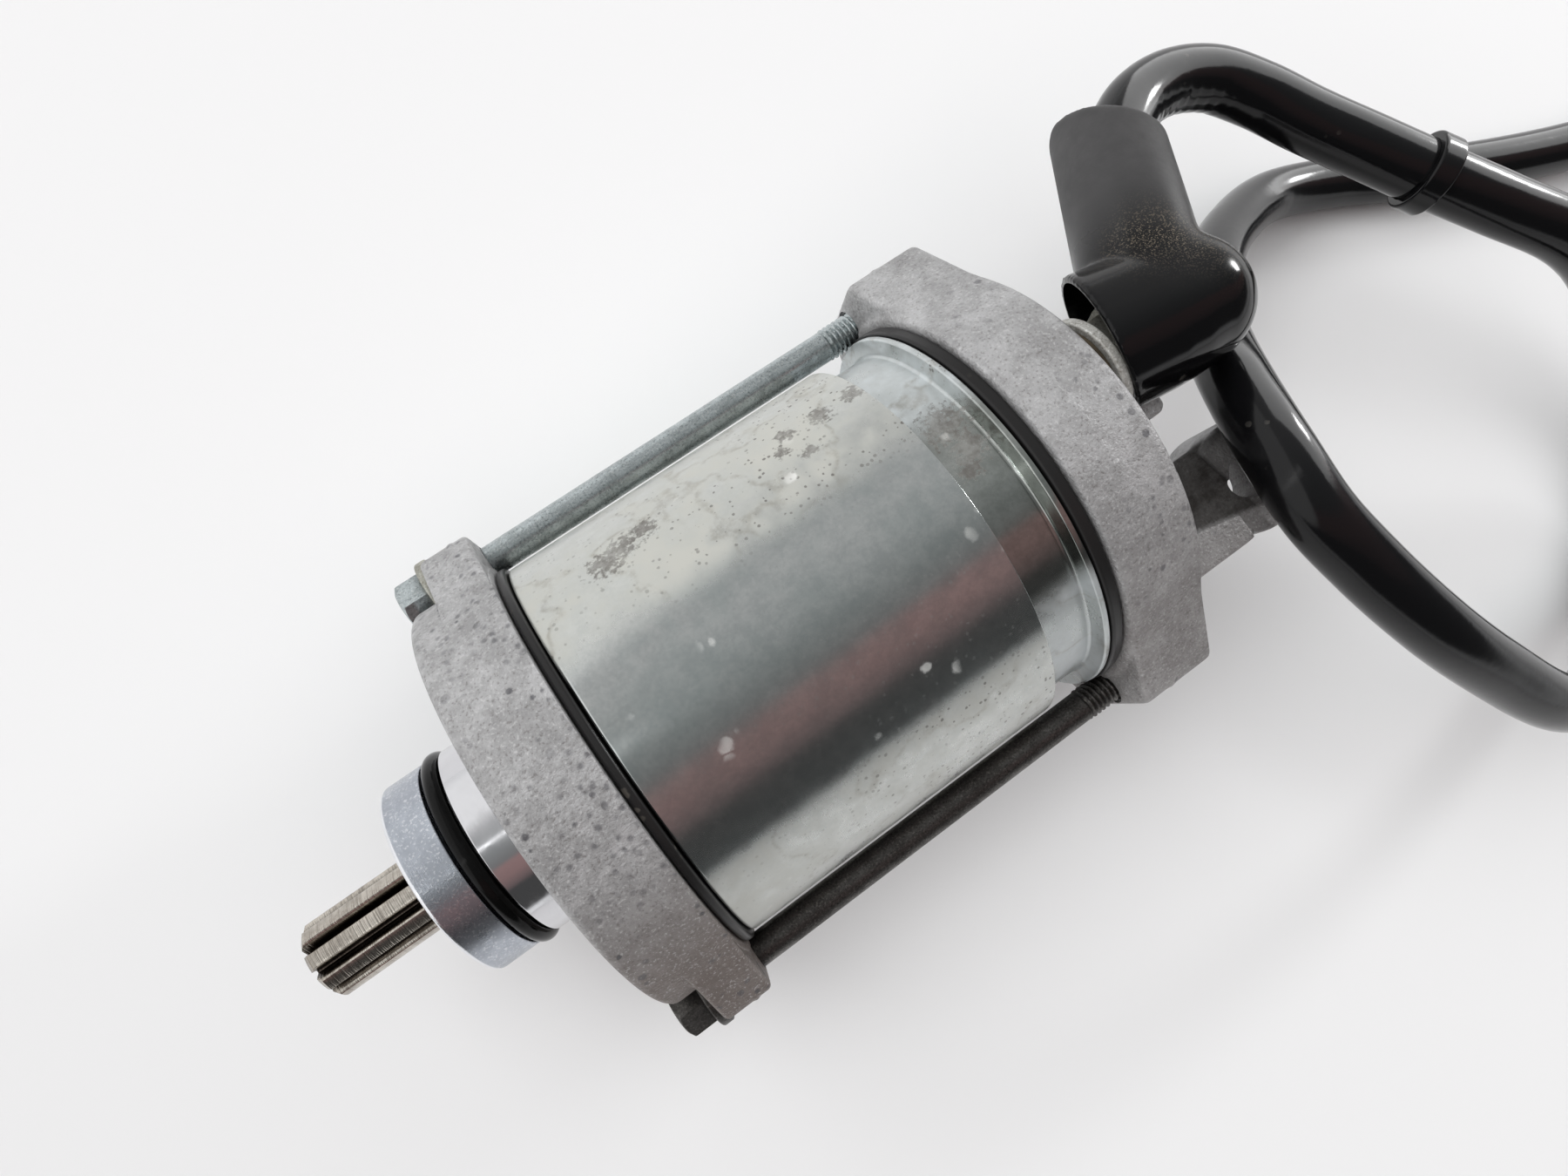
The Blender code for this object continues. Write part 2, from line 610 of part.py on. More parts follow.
def make_lug(bracket):
    """Joins the mounting lug to the rear bracket: a low arm with a flared rib, and a bored boss."""
    start = REAR_FACE - REAR_WALL / 2
    bottom = LUG_TOP - LUG_THICKNESS
    half = LUG_ARM_WIDTH / 2
    outer = LUG_ACROSS - half
    inner = LUG_ACROSS + half
    under_arm = bottom + LUG_STEP
    floor = LUG_TOP - LUG_RECESS
    arm = box((start, outer, under_arm), (LUG_HOLE, inner, floor))
    combine(bracket, "UNION", "lug_arm", arm)
    upright = (0.0, -math.pi / 2, 0.0)
    boss = rod(bottom, floor - LUG_STEP, LUG_BOSS_RADIUS, MEDIUM, EAR_CHAMFER)
    combine(bracket, "UNION", "lug_boss", boss, (LUG_HOLE, LUG_ACROSS, 0.0), upright)
    pad_radius = LUG_BOSS_RADIUS - LUG_STEP
    chord = math.degrees(math.acos(-(LUG_HOLE_RADIUS + LUG_PAD_SET) / pad_radius))
    rim = arc((LUG_HOLE, LUG_ACROSS), pad_radius, -chord, chord, MEDIUM - 4)
    pad = lofted([[(x, y, z) for x, y in rim] for z in (floor - 2 * LUG_STEP, LUG_TOP)], closed=False)
    combine(bracket, "UNION", "lug_pad", pad)
    rib_end = LUG_HOLE - LUG_HOLE_RADIUS - LUG_RIB
    rib_start = start + LUG_STEP
    rib_bottom = under_arm + LUG_STEP
    rib_top = LUG_TOP - LUG_STEP
    rib = [(rib_start, outer - LUG_FLARE, rib_bottom), (rib_end, outer - LUG_STEP, rib_bottom)]
    rib += [(x, outer - LUG_STEP, rib_top) for x in (rib_start, rib_end)]
    rib += [(x, outer + LUG_RIB, z) for x in (rib_start, rib_end) for z in (rib_bottom, rib_top)]
    combine(bracket, "UNION", "lug_rib", hull(rib))
    hole = rod(bottom - OVERLAP, LUG_TOP + OVERLAP, LUG_HOLE_RADIUS)
    combine(bracket, "DIFFERENCE", "lug_hole", hole, (LUG_HOLE, LUG_ACROSS, 0.0), upright)


def make_stop_rib(bracket):
    """Joins the rounded rib that keeps the cable lug from turning."""
    end = REAR_FACE + STOP_RIB_LENGTH - STOP_RIB_HALF_WIDTH
    nose = arc((end, STOP_RIB_ACROSS), STOP_RIB_HALF_WIDTH, -90.0, 90.0, 6)
    start = REAR_FACE - REAR_WALL / 2
    outline = [(start, STOP_RIB_ACROSS - STOP_RIB_HALF_WIDTH), *nose]
    outline.append((start, STOP_RIB_ACROSS + STOP_RIB_HALF_WIDTH))
    half = STOP_RIB_HEIGHT / 2
    loops = [[(x, y, STOP_RIB_ABOVE + z) for x, y in outline] for z in (-half, half)]
    combine(bracket, "UNION", "stop_rib", lofted(loops, closed=False))


def make_rear_bracket(parent):
    """Cast bracket with the brush ledge, the bush's hub, the terminal's pad and the mounting lug."""
    corner = arc((REAR_FACE - REAR_CORNER, BRACKET_RADIUS - REAR_CORNER), REAR_CORNER, 90.0, 0.0, 3)
    hub_face = LEDGE
    bush_end = hub_face + FIT + BUSH_LENGTH + FIT
    profile = [
        (bush_end, 0.0),
        (bush_end, BUSH_RADIUS + FIT),
        (hub_face, BUSH_RADIUS + FIT),
        (hub_face, HUB_RADIUS),
        (REAR_CAVITY, HUB_RADIUS),
        (REAR_CAVITY, LEDGE_BORE),
        (LEDGE, LEDGE_BORE),
        (LEDGE, SPIGOT_BORE),
        (REAR_JOINT - SPIGOT_LENGTH, SPIGOT_BORE),
        (REAR_JOINT - SPIGOT_LENGTH, SPIGOT_RADIUS),
        (REAR_JOINT, SPIGOT_RADIUS),
        (REAR_JOINT, BRACKET_RADIUS),
        *corner,
        (REAR_FACE, 0.0),
    ]
    bracket = piece("rear_bracket", turned(profile), "cast_aluminium", parent)
    ear_start = REAR_JOINT + REAR_EAR_SET
    bolt_hole = THREAD_RADIUS + FIT
    counterbore = stepped(
        ear_start - OVERLAP, ear_start + EAR_RECESS, REAR_FACE + OVERLAP, EAR_RECESS_RADIUS, bolt_hole
    )
    add_ears(bracket, ear_start, REAR_FACE - EAR_STEP, counterbore)
    terminal = (0.0, TERMINAL_ACROSS, TERMINAL_ABOVE)
    pad = rod(REAR_FACE - OVERLAP, PAD_FACE, INSULATOR_RADIUS)
    combine(bracket, "UNION", "terminal_pad", pad, terminal)
    passage = STUD_RADIUS + BUSHING_WALL + 2 * FIT
    pocket = stepped(
        REAR_JOINT - SPIGOT_LENGTH - OVERLAP, POCKET_FLOOR, PAD_FACE + OVERLAP, POCKET_RADIUS, passage
    )
    combine(bracket, "DIFFERENCE", "terminal_pocket", pocket, terminal)
    for turn in screw_turns():
        hole = rod(LEDGE - OVERLAP, PLATE_FRONT + SCREW_LENGTH + FIT, SCREW_RADIUS + FIT, 12)
        combine(bracket, "DIFFERENCE", f"screw_hole_{turn:.1f}", hole, screw_place(turn))
    make_stop_rib(bracket)
    make_lug(bracket)


def screw_turns():
    """Angles of the brush plate's screws, between the brushes."""
    return (math.pi * 0.75, math.pi * 1.75)


def screw_place(turn):
    """Where a brush plate screw stands, on the bracket's ledge."""
    radius = PLATE_RADIUS - SCREW_HEAD_RADIUS - FIT
    return (0.0, radius * math.cos(turn), radius * math.sin(turn))


def make_bolts(parent):
    """The two long through bolts and their washers."""
    seat = BOLT_SEAT - FIT
    under_head = seat - WASHER_THICKNESS - FIT
    head_end = under_head - BOLT_HEAD_HEIGHT
    tip = REAR_FACE - EAR_CHAMFER
    thread = tip - THREAD_LENGTH
    chamfer = THREAD_RADIUS - BOLT_RADIUS
    flats = hexagon(BOLT_HEAD_FLATS)
    shank = circle(BOLT_RADIUS, HEX)
    threaded = circle(THREAD_RADIUS, HEX)
    loops = [
        at(head_end, flats, EAR_CHAMFER / 2),
        at(head_end + EAR_CHAMFER / 2, flats),
        at(under_head, flats),
        at(under_head, shank),
        at(thread - chamfer, shank),
        at(thread, threaded),
        at(tip - 2 * chamfer, threaded),
        at(tip, shank, chamfer),
    ]
    for i, side in enumerate((1, -1)):
        place = (0.0, side * BOLT_ACROSS, 0.0)
        piece(f"through_bolt_{i + 1}", lofted(loops, closed=False), "bolt_steel", parent, place)
        washer = ring(seat - WASHER_THICKNESS, seat, BOLT_RADIUS + FIT, WASHER_RADIUS, SMALL)
        piece(f"bolt_washer_{i + 1}", washer, "bolt_steel", parent, place)


def pinion_outline():
    """Nine teeth, each with a root, a rounded flank and a narrow tip."""
    flank_radius = (PINION_ROOT_RADIUS + 1.6 * PINION_TIP_RADIUS) / 2.6
    flank = [(PINION_ROOT_RADIUS, -14.0), (flank_radius, -9.5), (PINION_TIP_RADIUS, -5.0)]
    return repeated(flank + [(radius, -angle) for radius, angle in reversed(flank)], PINION_TEETH)


def make_shaft(parent):
    """Armature shaft with the pinion cut on its front end and a thin rear journal."""
    front = NOSE_END - FIT
    collar = SHAFT_RADIUS + COLLAR_HEIGHT
    collar_start = BEARING_FRONT + BEARING_WIDTH + FIT
    journal = COMMUTATOR_END + FIT
    tail = LEDGE + FIT + BUSH_LENGTH
    profile = [
        (front, 0.0),
        (front, PINION_TIP_RADIUS),
        (front + SEAL_SET / 2, SHAFT_RADIUS),
        (collar_start, SHAFT_RADIUS),
        (collar_start, collar),
        (CORE_SET - WINDING_OVERHANG - FIT, collar),
        (CORE_SET - WINDING_OVERHANG - FIT, SHAFT_RADIUS),
        (journal, SHAFT_RADIUS),
        (journal, JOURNAL_RADIUS),
        (tail - PINION_CHAMFER, JOURNAL_RADIUS),
        (tail, JOURNAL_RADIUS - PINION_CHAMFER),
        (tail, 0.0),
    ]
    shaft = piece("armature_shaft", turned(profile, MEDIUM), "pinion_steel", parent)
    outline = pinion_outline()
    loops = [
        at(PINION_TIP, outline, PINION_CHAMFER),
        at(PINION_TIP + PINION_CHAMFER, outline),
        at(front + OVERLAP, outline),
    ]
    combine(shaft, "UNION", "pinion", lofted(loops, closed=False))


def make_armature(parent):
    """Slotted core, its winding and the commutator."""
    pitch = 360.0 / CORE_SLOTS
    tooth = (pitch - SLOT_DEGREES) / 2
    floor = tooth + SLOT_DRAFT
    section = [(CORE_RADIUS, -tooth), (CORE_RADIUS, tooth), (SLOT_INNER, floor), (SLOT_INNER, pitch - floor)]
    points = repeated(section, CORE_SLOTS)
    core = pierced(CORE_SET, CORE_END, points, SHAFT_RADIUS + FIT)
    piece("armature_core", core, "core_steel", parent)

    slot_fit = 2 * FIT
    bottom = SLOT_INNER + slot_fit
    top = WINDING_RADIUS - slot_fit
    front = CORE_SET - slot_fit
    rear = CORE_END + slot_fit
    inside = SHAFT_RADIUS + COLLAR_HEIGHT
    front_ring = ring(front - WINDING_OVERHANG + slot_fit, front, inside, top, MEDIUM)
    winding = piece("armature_winding", front_ring, "copper", parent)
    rear_ring = ring(rear, rear + WINDING_OVERHANG, inside, top, MEDIUM)
    combine(winding, "UNION", "rear_ring", rear_ring)
    low, high = math.radians(5.2), math.radians(5.9)
    section = [
        (bottom * math.cos(low), -bottom * math.sin(low)),
        (top * math.cos(high), -top * math.sin(high)),
        (top * math.cos(high), top * math.sin(high)),
        (bottom * math.cos(low), bottom * math.sin(low)),
    ]
    for i in range(CORE_SLOTS):
        turn = math.tau * (i + 0.5) / CORE_SLOTS
        bar = prism(front - OVERLAP, rear + OVERLAP, section)
        combine(winding, "UNION", f"bar_{i + 1}", bar, turn=(turn, 0.0, 0.0))

    pitch = 360.0 / COMMUTATOR_BARS
    groove_floor = COMMUTATOR_RADIUS - MICA_DEPTH
    bar_half = [(groove_floor, -0.42 * pitch), (COMMUTATOR_RADIUS, -0.38 * pitch)]
    bar_half += [(radius, -angle) for radius, angle in reversed(bar_half)]
    points = repeated(bar_half, COMMUTATOR_BARS)
    bars = pierced(COMMUTATOR_START, COMMUTATOR_END, points, SHAFT_RADIUS + FIT)
    piece("commutator", bars, "copper", parent)


def make_bearing(parent, rotor, cage_frame):
    """Front ball bearing: fixed outer ring, turning inner ring, and the balls in their cage."""
    end = BEARING_FRONT + BEARING_WIDTH
    outer_bore = BEARING_RADIUS - BEARING_RING
    inner_bore = SHAFT_RADIUS + FIT
    inner_radius = inner_bore + BEARING_RING
    outer = ring(BEARING_FRONT, end, outer_bore, BEARING_RADIUS, MEDIUM)
    piece("bearing_outer_ring", outer, "bearing_steel", parent)
    inner = ring(BEARING_FRONT, end, inner_bore, inner_radius, MEDIUM)
    piece("bearing_inner_ring", inner, "bearing_steel", rotor)
    pitch = (outer_bore + inner_radius) / 2
    ball = (outer_bore - inner_radius) / 2 - FIT
    middle = (BEARING_FRONT + end) / 2
    web = ring(middle - ball / 2, middle + ball / 2, pitch - ball / 3, pitch + ball / 3, SMALL)
    cage = piece("bearing_ball_cage", web, "brass", cage_frame)
    for i in range(BEARING_BALLS):
        turn = math.tau * i / BEARING_BALLS
        bm = bmesh.new()
        bmesh.ops.create_icosphere(bm, subdivisions=1, radius=ball)
        place = (middle, pitch * math.cos(turn), pitch * math.sin(turn))
        combine(cage, "UNION", f"ball_{i + 1}", mesh_from(bm), place)


def make_rear_bearing(parent, rotor):
    """Rear plain bush, and the thrust washer between it and the commutator."""
    start = LEDGE + FIT
    bush = ring(start, start + BUSH_LENGTH, BUSH_BORE, BUSH_RADIUS, SMALL)
    piece("rear_bush", bush, "brass", parent)
    washer_start = COMMUTATOR_END + 2 * FIT
    washer = ring(washer_start, washer_start + THRUST_WASHER, BUSH_BORE, HUB_RADIUS, SMALL)
    piece("thrust_washer", washer, "bearing_steel", rotor)


def brush_turns():
    """Angles of the brushes round the commutator, from +Y."""
    return [math.tau * i / BRUSH_COUNT for i in range(BRUSH_COUNT)]


def make_brush_gear(parent):
    """Brush plate with its four boxes, the brushes, their springs and the plate's screws."""
    bore = COMMUTATOR_RADIUS + PLATE_BORE_GAP
    disc = ring(PLATE_FRONT, PLATE_REAR, bore, PLATE_RADIUS, MEDIUM)
    plate = piece("brush_plate", disc, "fibre", parent)
    channel = BRUSH_WIDTH / 2 + BRUSH_FIT
    channel_front = BOX_FRONT + BOX_WALL
    channel_rear = channel_front + BRUSH_AXIAL + 2 * BRUSH_FIT
    wall = channel + BOX_WALL
    box_reach = math.sqrt(PLATE_RADIUS**2 - wall**2)
    seat = box_reach - BOX_WALL
    for i, turn in enumerate(brush_turns()):
        shell = box((BOX_FRONT, bore + FIT, -wall), (PLATE_FRONT + PLATE_THICKNESS / 2, box_reach, wall))
        combine(plate, "UNION", f"box_{i + 1}", shell, turn=(turn, 0.0, 0.0))
    for i, turn in enumerate(brush_turns()):
        inside = box((channel_front, bore - OVERLAP, -channel), (channel_rear, seat, channel))
        combine(plate, "DIFFERENCE", f"channel_{i + 1}", inside, turn=(turn, 0.0, 0.0))
    for turn in screw_turns():
        hole = rod(PLATE_FRONT - OVERLAP, PLATE_REAR + OVERLAP, SCREW_RADIUS + FIT, 12)
        combine(plate, "DIFFERENCE", f"screw_hole_{turn:.1f}", hole, screw_place(turn))

    face = COMMUTATOR_RADIUS + FIT
    back = seat - SPRING_ROOM
    half = BRUSH_WIDTH / 2
    edge = math.degrees(math.asin(half / face))
    outline = [(back, -half), (back, half)] + arc((0.0, 0.0), face, edge, -edge, 6)
    start = channel_front + BRUSH_FIT
    for i, turn in enumerate(brush_turns()):
        brush = prism(start, start + BRUSH_AXIAL, outline)
        piece(f"brush_{i + 1}", brush, "carbon", parent, turn=(turn, 0.0, 0.0))
        spring = brush_spring(start + BRUSH_AXIAL / 2, back + FIT, seat - FIT)
        piece(f"brush_spring_{i + 1}", spring, "spring_steel", parent, turn=(turn, 0.0, 0.0))

    for i, turn in enumerate(screw_turns()):
        profile = [
            (PLATE_FRONT - FIT - SCREW_HEAD_HEIGHT, 0.0),
            (PLATE_FRONT - FIT - SCREW_HEAD_HEIGHT, SCREW_HEAD_RADIUS),
            (PLATE_FRONT - FIT, SCREW_HEAD_RADIUS),
            (PLATE_FRONT - FIT, SCREW_RADIUS),
            (PLATE_FRONT + SCREW_LENGTH, SCREW_RADIUS),
            (PLATE_FRONT + SCREW_LENGTH, 0.0),
        ]
        piece(f"plate_screw_{i + 1}", turned(profile, 12), "bolt_steel", parent, screw_place(turn))


def tube_curve(points, radius, resolution):
    """A round tube with closed ends along a row of points."""
    curve = bpy.data.curves.new("route", "CURVE")
    curve.dimensions = "3D"
    curve.bevel_depth = radius
    curve.bevel_resolution = resolution
    curve.use_fill_caps = True
    spline = curve.splines.new("POLY")
    spline.points.add(len(points) - 1)
    for slot, point in zip(spline.points, points):
        slot.co = (*point, 1.0)
    return curve


def brush_spring(along, low, high):
    """A coil spring that pushes a brush inwards, between two distances from the shaft."""
    coil = min(BRUSH_AXIAL, BRUSH_WIDTH) / 2 - SPRING_WIRE - BRUSH_FIT
    steps = int(SPRING_CURLS * 8)
    bottom, top = low + SPRING_WIRE, high - SPRING_WIRE
    points = []
    for i in range(steps + 1):
        turn = math.tau * SPRING_CURLS * i / steps
        reach = bottom + (top - bottom) * i / steps
        points.append((along + coil * math.cos(turn), reach, coil * math.sin(turn)))
    return tube_curve(points, SPRING_WIRE, 0)


def make_terminal(parent):
    """Stud, its insulators, and the washer and nut that clamp it to the bracket."""
    place = (0.0, TERMINAL_ACROSS, TERMINAL_ABOVE)
    flange_start = POCKET_FLOOR - FIT - BUSHING_FLANGE_THICKNESS
    head_end = flange_start - FIT
    profile = [
        (head_end - STUD_HEAD_HEIGHT, 0.0),
        (head_end - STUD_HEAD_HEIGHT, STUD_HEAD_RADIUS),
        (head_end, STUD_HEAD_RADIUS),
        (head_end, STUD_RADIUS),
        (STUD_END - PINION_CHAMFER, STUD_RADIUS),
        (STUD_END, STUD_RADIUS - PINION_CHAMFER),
        (STUD_END, 0.0),
    ]
    piece("terminal_stud", turned(profile, SMALL), "bolt_steel", parent, place)
    sleeve_bore = STUD_RADIUS + FIT
    sleeve_radius = sleeve_bore + BUSHING_WALL
    profile = [
        (flange_start, sleeve_bore),
        (flange_start, sleeve_radius + BUSHING_FLANGE),
        (POCKET_FLOOR - FIT, sleeve_radius + BUSHING_FLANGE),
        (POCKET_FLOOR - FIT, sleeve_radius),
        (PAD_FACE, sleeve_radius),
        (PAD_FACE, sleeve_bore),
    ]
    piece("terminal_bushing", turned(profile, SMALL), "fibre", parent, place)
    insulator = ring(PAD_FACE + FIT, INSULATOR_FACE, sleeve_bore, INSULATOR_RADIUS, MEDIUM)
    piece("insulating_washer", insulator, "fibre", parent, place)
    washer = ring(INSULATOR_FACE + FIT, WASHER_FACE, sleeve_bore, INSULATOR_RADIUS, MEDIUM)
    piece("terminal_washer", washer, "zinc_steel", parent, place)
    nut = pierced(WASHER_FACE + FIT, NUT_FACE, hexagon(NUT_FLATS), sleeve_bore)
    piece("terminal_nut", nut, "zinc_steel", parent, place)
    nut = pierced(LUG_RING_FACE + FIT, LUG_NUT_FACE, hexagon(NUT_FLATS), sleeve_bore)
    piece("cable_nut", nut, "zinc_steel", parent, place)


def sleeve_root():
    """Where the boot's sleeve and the cable lug's crimp start from: on the stud, behind the lug ring."""
    return Vector((LUG_RING_FACE + STUD_RADIUS, TERMINAL_ACROSS, TERMINAL_ABOVE + STUD_RADIUS / 2))


def make_cable_lug(parent):
    """Ring on the stud with a bent-back crimp barrel that holds the cable."""
    start = NUT_FACE + FIT
    plate = ring(start, LUG_RING_FACE, STUD_RADIUS + FIT, LUG_RING_RADIUS, SMALL)
    lug = piece("cable_lug", plate, "zinc_steel", parent, (0.0, TERMINAL_ACROSS, TERMINAL_ABOVE))
    root = sleeve_root()
    crimp = rod(CRIMP_START, CRIMP_START + CRIMP_LENGTH, CRIMP_RADIUS)
    turn = aimed(BOOT_SLEEVE_AIM)
    combine(lug, "UNION", "crimp", crimp, root, turn)
    edge = TERMINAL_ACROSS + NUT_FLATS / 2 + 2 * FIT
    tip = TERMINAL_ACROSS + LUG_RING_RADIUS - FIT
    half = STUD_RADIUS / 2
    corners = [(x, y) for x in (start + FIT, LUG_RING_FACE - FIT) for y in (edge, tip)]
    tongue = [(x, y, TERMINAL_ABOVE + z) for x, y in corners for z in (-half, half)]
    crimp_frame = Matrix.Translation(root) @ turn.to_matrix().to_4x4()
    for y, z in circle(CRIMP_RADIUS * 0.6, 8):
        tongue.append(crimp_frame @ Vector((CRIMP_START + OVERLAP, y, z)))
    combine(lug, "UNION", "tongue", hull(tongue))


def make_boot(parent):
    """Moulded rubber boot: a domed barrel over the stud and a sleeve along the cable."""
    dome = BOOT_LENGTH - BOOT_RADIUS
    outside = [(0.0, 0.0), (0.0, BOOT_RADIUS), *arc((dome, 0.0), BOOT_RADIUS, 90.0, 0.0, 7)[:-1]]
    outside.append((BOOT_LENGTH, 0.0))
    place = (BOOT_MOUTH, TERMINAL_ACROSS + BOOT_MOUTH_SHIFT, TERMINAL_ABOVE)
    slant = (0.0, 0.0, BOOT_SLANT)
    boot = piece("terminal_boot", turned(outside, BOOT_SIDE_COUNT), "rubber", parent, place, slant)
    root = sleeve_root()
    turn = aimed(BOOT_SLEEVE_AIM)
    shoulder = SLEEVE_END_RADIUS - BOOT_SLEEVE_CORNER
    skin = [
        (0.0, 0.0),
        (0.0, SLEEVE_ROOT_RADIUS - OVERLAP),
        (OVERLAP, SLEEVE_ROOT_RADIUS),
        *arc((BOOT_SLEEVE_LENGTH - BOOT_SLEEVE_CORNER, shoulder), BOOT_SLEEVE_CORNER, 90.0, 0.0, 3),
        (BOOT_SLEEVE_LENGTH, 0.0),
    ]
    combine(boot, "UNION", "sleeve", turned(skin, BOOT_SIDE_COUNT), root, turn)
    bore = BOOT_RADIUS - BOOT_WALL
    inside = [(-OVERLAP, 0.0), (-OVERLAP, bore), *arc((dome, 0.0), bore, 90.0, 0.0, 5)[:-1]]
    inside.append((dome + bore, 0.0))
    combine(boot, "DIFFERENCE", "hollow", turned(inside, BOOT_SIDE_COUNT), place, slant)
    room = CABLE_RADIUS + CABLE_FIT + BOOT_SLEEVE_ROOM
    passage = rod(OVERLAP, BOOT_SLEEVE_LENGTH + OVERLAP, room, MEDIUM)
    combine(boot, "DIFFERENCE", "passage", passage, root, turn)


def cable_points():
    """The cable's start in the crimp, then even steps on a smooth curve through its route."""
    aim = np.array(BOOT_SLEEVE_AIM)
    start = np.array(sleeve_root()) + aim * (CRIMP_START + CRIMP_LENGTH + CABLE_FIT)
    stops = np.array([start + aim * CRIMP_LEAD, *(np.array(CABLE_ROUTE) * MM)])
    knots = np.concatenate([[0.0], np.cumsum(np.linalg.norm(np.diff(stops, axis=0), axis=1))])
    slopes = np.gradient(stops, knots, axis=0)
    slopes[0] = aim
    slopes[-2:] = (stops[-1] - stops[-2]) / (knots[-1] - knots[-2])
    fine = np.linspace(0.0, knots[-1], 2000)
    span = np.clip(np.searchsorted(knots, fine, side="right") - 1, 0, len(knots) - 2)
    width = (knots[span + 1] - knots[span])[:, None]
    t = (fine - knots[span])[:, None] / width
    curve = (
        (2 * t**3 - 3 * t**2 + 1) * stops[span]
        + (t**3 - 2 * t**2 + t) * width * slopes[span]
        + (3 * t**2 - 2 * t**3) * stops[span + 1]
        + (t**3 - t**2) * width * slopes[span + 1]
    )
    travel = np.concatenate([[0.0], np.cumsum(np.linalg.norm(np.diff(curve, axis=0), axis=1))])
    even = np.linspace(0.0, travel[-1], round(travel[-1] / ROUTE_STEP) + 1)
    rest = np.stack([np.interp(even, travel, curve[:, axis]) for axis in range(3)], axis=1)
    print(f"cable length {CRIMP_LEAD + travel[-1]:.3f} m in {len(rest) + 1} points")
    return np.vstack([start, rest])


def make_cable(parent):
    """Cable with its band, and the ring terminal and cover at its far end."""
    points = cable_points()
    piece("starter_cable", tube_curve(points, CABLE_RADIUS, 2), "vinyl", parent)

    reach = np.concatenate([[0.0], np.cumsum(np.linalg.norm(np.diff(points, axis=0), axis=1))])
    before = int(np.searchsorted(reach, BAND_ALONG)) - 1
    middle = Vector((points[before] + points[before + 1]) / 2)
    band_aim = Vector(points[before + 1] - points[before])
    inner = CABLE_RADIUS + CABLE_FIT
    band = ring(-BAND_WIDTH / 2, BAND_WIDTH / 2, inner, inner + BAND_WALL, SMALL)
    piece("cable_band", band, "vinyl", parent, middle, aimed(band_aim))

    end = Vector(points[-1])
    aim = Vector(points[-1] - points[-2])
    turn = aimed(aim)
    crimp = rod(CABLE_FIT, RING_CRIMP_LENGTH, CRIMP_RADIUS)
    terminal = piece("ring_terminal", crimp, "zinc_steel", parent, end, turn)
    hole_reach = RING_CRIMP_LENGTH + RING_REACH
    half = RING_PALM_THICKNESS / 2
    upright = Matrix.Translation(end) @ turn.to_matrix().to_4x4()
    palm_frame = upright @ Matrix.Translation((hole_reach, 0.0, 0.0))
    palm_frame = palm_frame @ Matrix.Rotation(-math.pi / 2, 4, "Y")
    palm_turn = palm_frame.to_euler()
    palm_place = palm_frame.translation
    combine(terminal, "UNION", "palm", rod(-half, half, RING_PALM_RADIUS), palm_place, palm_turn)
    neck = [(RING_CRIMP_LENGTH - OVERLAP, y, z) for y, z in circle(CRIMP_RADIUS * 0.8, 8)]
    neck_end = hole_reach - RING_PALM_RADIUS / 2
    neck += [(neck_end, y, z) for y in (-CRIMP_RADIUS, CRIMP_RADIUS) for z in (-half / 2, half / 2)]
    combine(terminal, "UNION", "neck", hull(neck), end, turn)
    eye = rod(-RING_PALM_RADIUS, RING_PALM_RADIUS, RING_HOLE_RADIUS)
    combine(terminal, "DIFFERENCE", "eye", eye, palm_place, palm_turn)

    back = COVER_LENGTH - RING_CRIMP_LENGTH
    cover = ring(-back, COVER_LENGTH - back, inner, inner + COVER_WALL, SMALL)
    piece("ring_terminal_cover", cover, "vinyl", parent, end, turn)


def main():
    for obj in list(bpy.data.objects):
        bpy.data.objects.remove(obj, do_unlink=True)
    motor = frame("motor_frame", None, (SHAFT_SHIFT, 0.0, SHAFT_HEIGHT))
    rotor = frame("rotor_axis", motor)
    cage = frame("cage_axis", motor)
    make_front_bracket(motor)
    make_nose_seals(motor)
    make_yoke(motor)
    make_rear_bracket(motor)
    make_bolts(motor)
    make_shaft(rotor)
    make_armature(rotor)
    make_bearing(motor, rotor, cage)
    make_rear_bearing(motor, rotor)
    make_brush_gear(motor)
    make_terminal(motor)
    make_cable_lug(motor)
    make_boot(motor)
    make_cable(motor)


main()
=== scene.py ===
import math

import bmesh
import bpy
import numpy as np
from mathutils import Matrix, Vector


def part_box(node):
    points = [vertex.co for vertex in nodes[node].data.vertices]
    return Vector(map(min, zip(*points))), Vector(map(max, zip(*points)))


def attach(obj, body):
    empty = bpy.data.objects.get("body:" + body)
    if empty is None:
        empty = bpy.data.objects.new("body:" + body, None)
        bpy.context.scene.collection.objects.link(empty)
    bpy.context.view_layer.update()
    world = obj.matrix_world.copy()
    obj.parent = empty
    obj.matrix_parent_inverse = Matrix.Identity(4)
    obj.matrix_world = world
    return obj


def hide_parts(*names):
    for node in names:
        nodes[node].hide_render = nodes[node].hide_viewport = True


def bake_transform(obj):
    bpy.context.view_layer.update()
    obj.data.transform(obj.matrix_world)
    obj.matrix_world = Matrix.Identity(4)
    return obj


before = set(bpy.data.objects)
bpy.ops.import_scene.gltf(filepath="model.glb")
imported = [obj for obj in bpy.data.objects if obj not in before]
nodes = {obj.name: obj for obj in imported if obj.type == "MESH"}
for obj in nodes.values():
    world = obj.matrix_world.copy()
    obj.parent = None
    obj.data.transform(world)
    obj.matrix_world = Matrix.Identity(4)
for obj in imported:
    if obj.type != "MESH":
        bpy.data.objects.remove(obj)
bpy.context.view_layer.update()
mm = 0.001

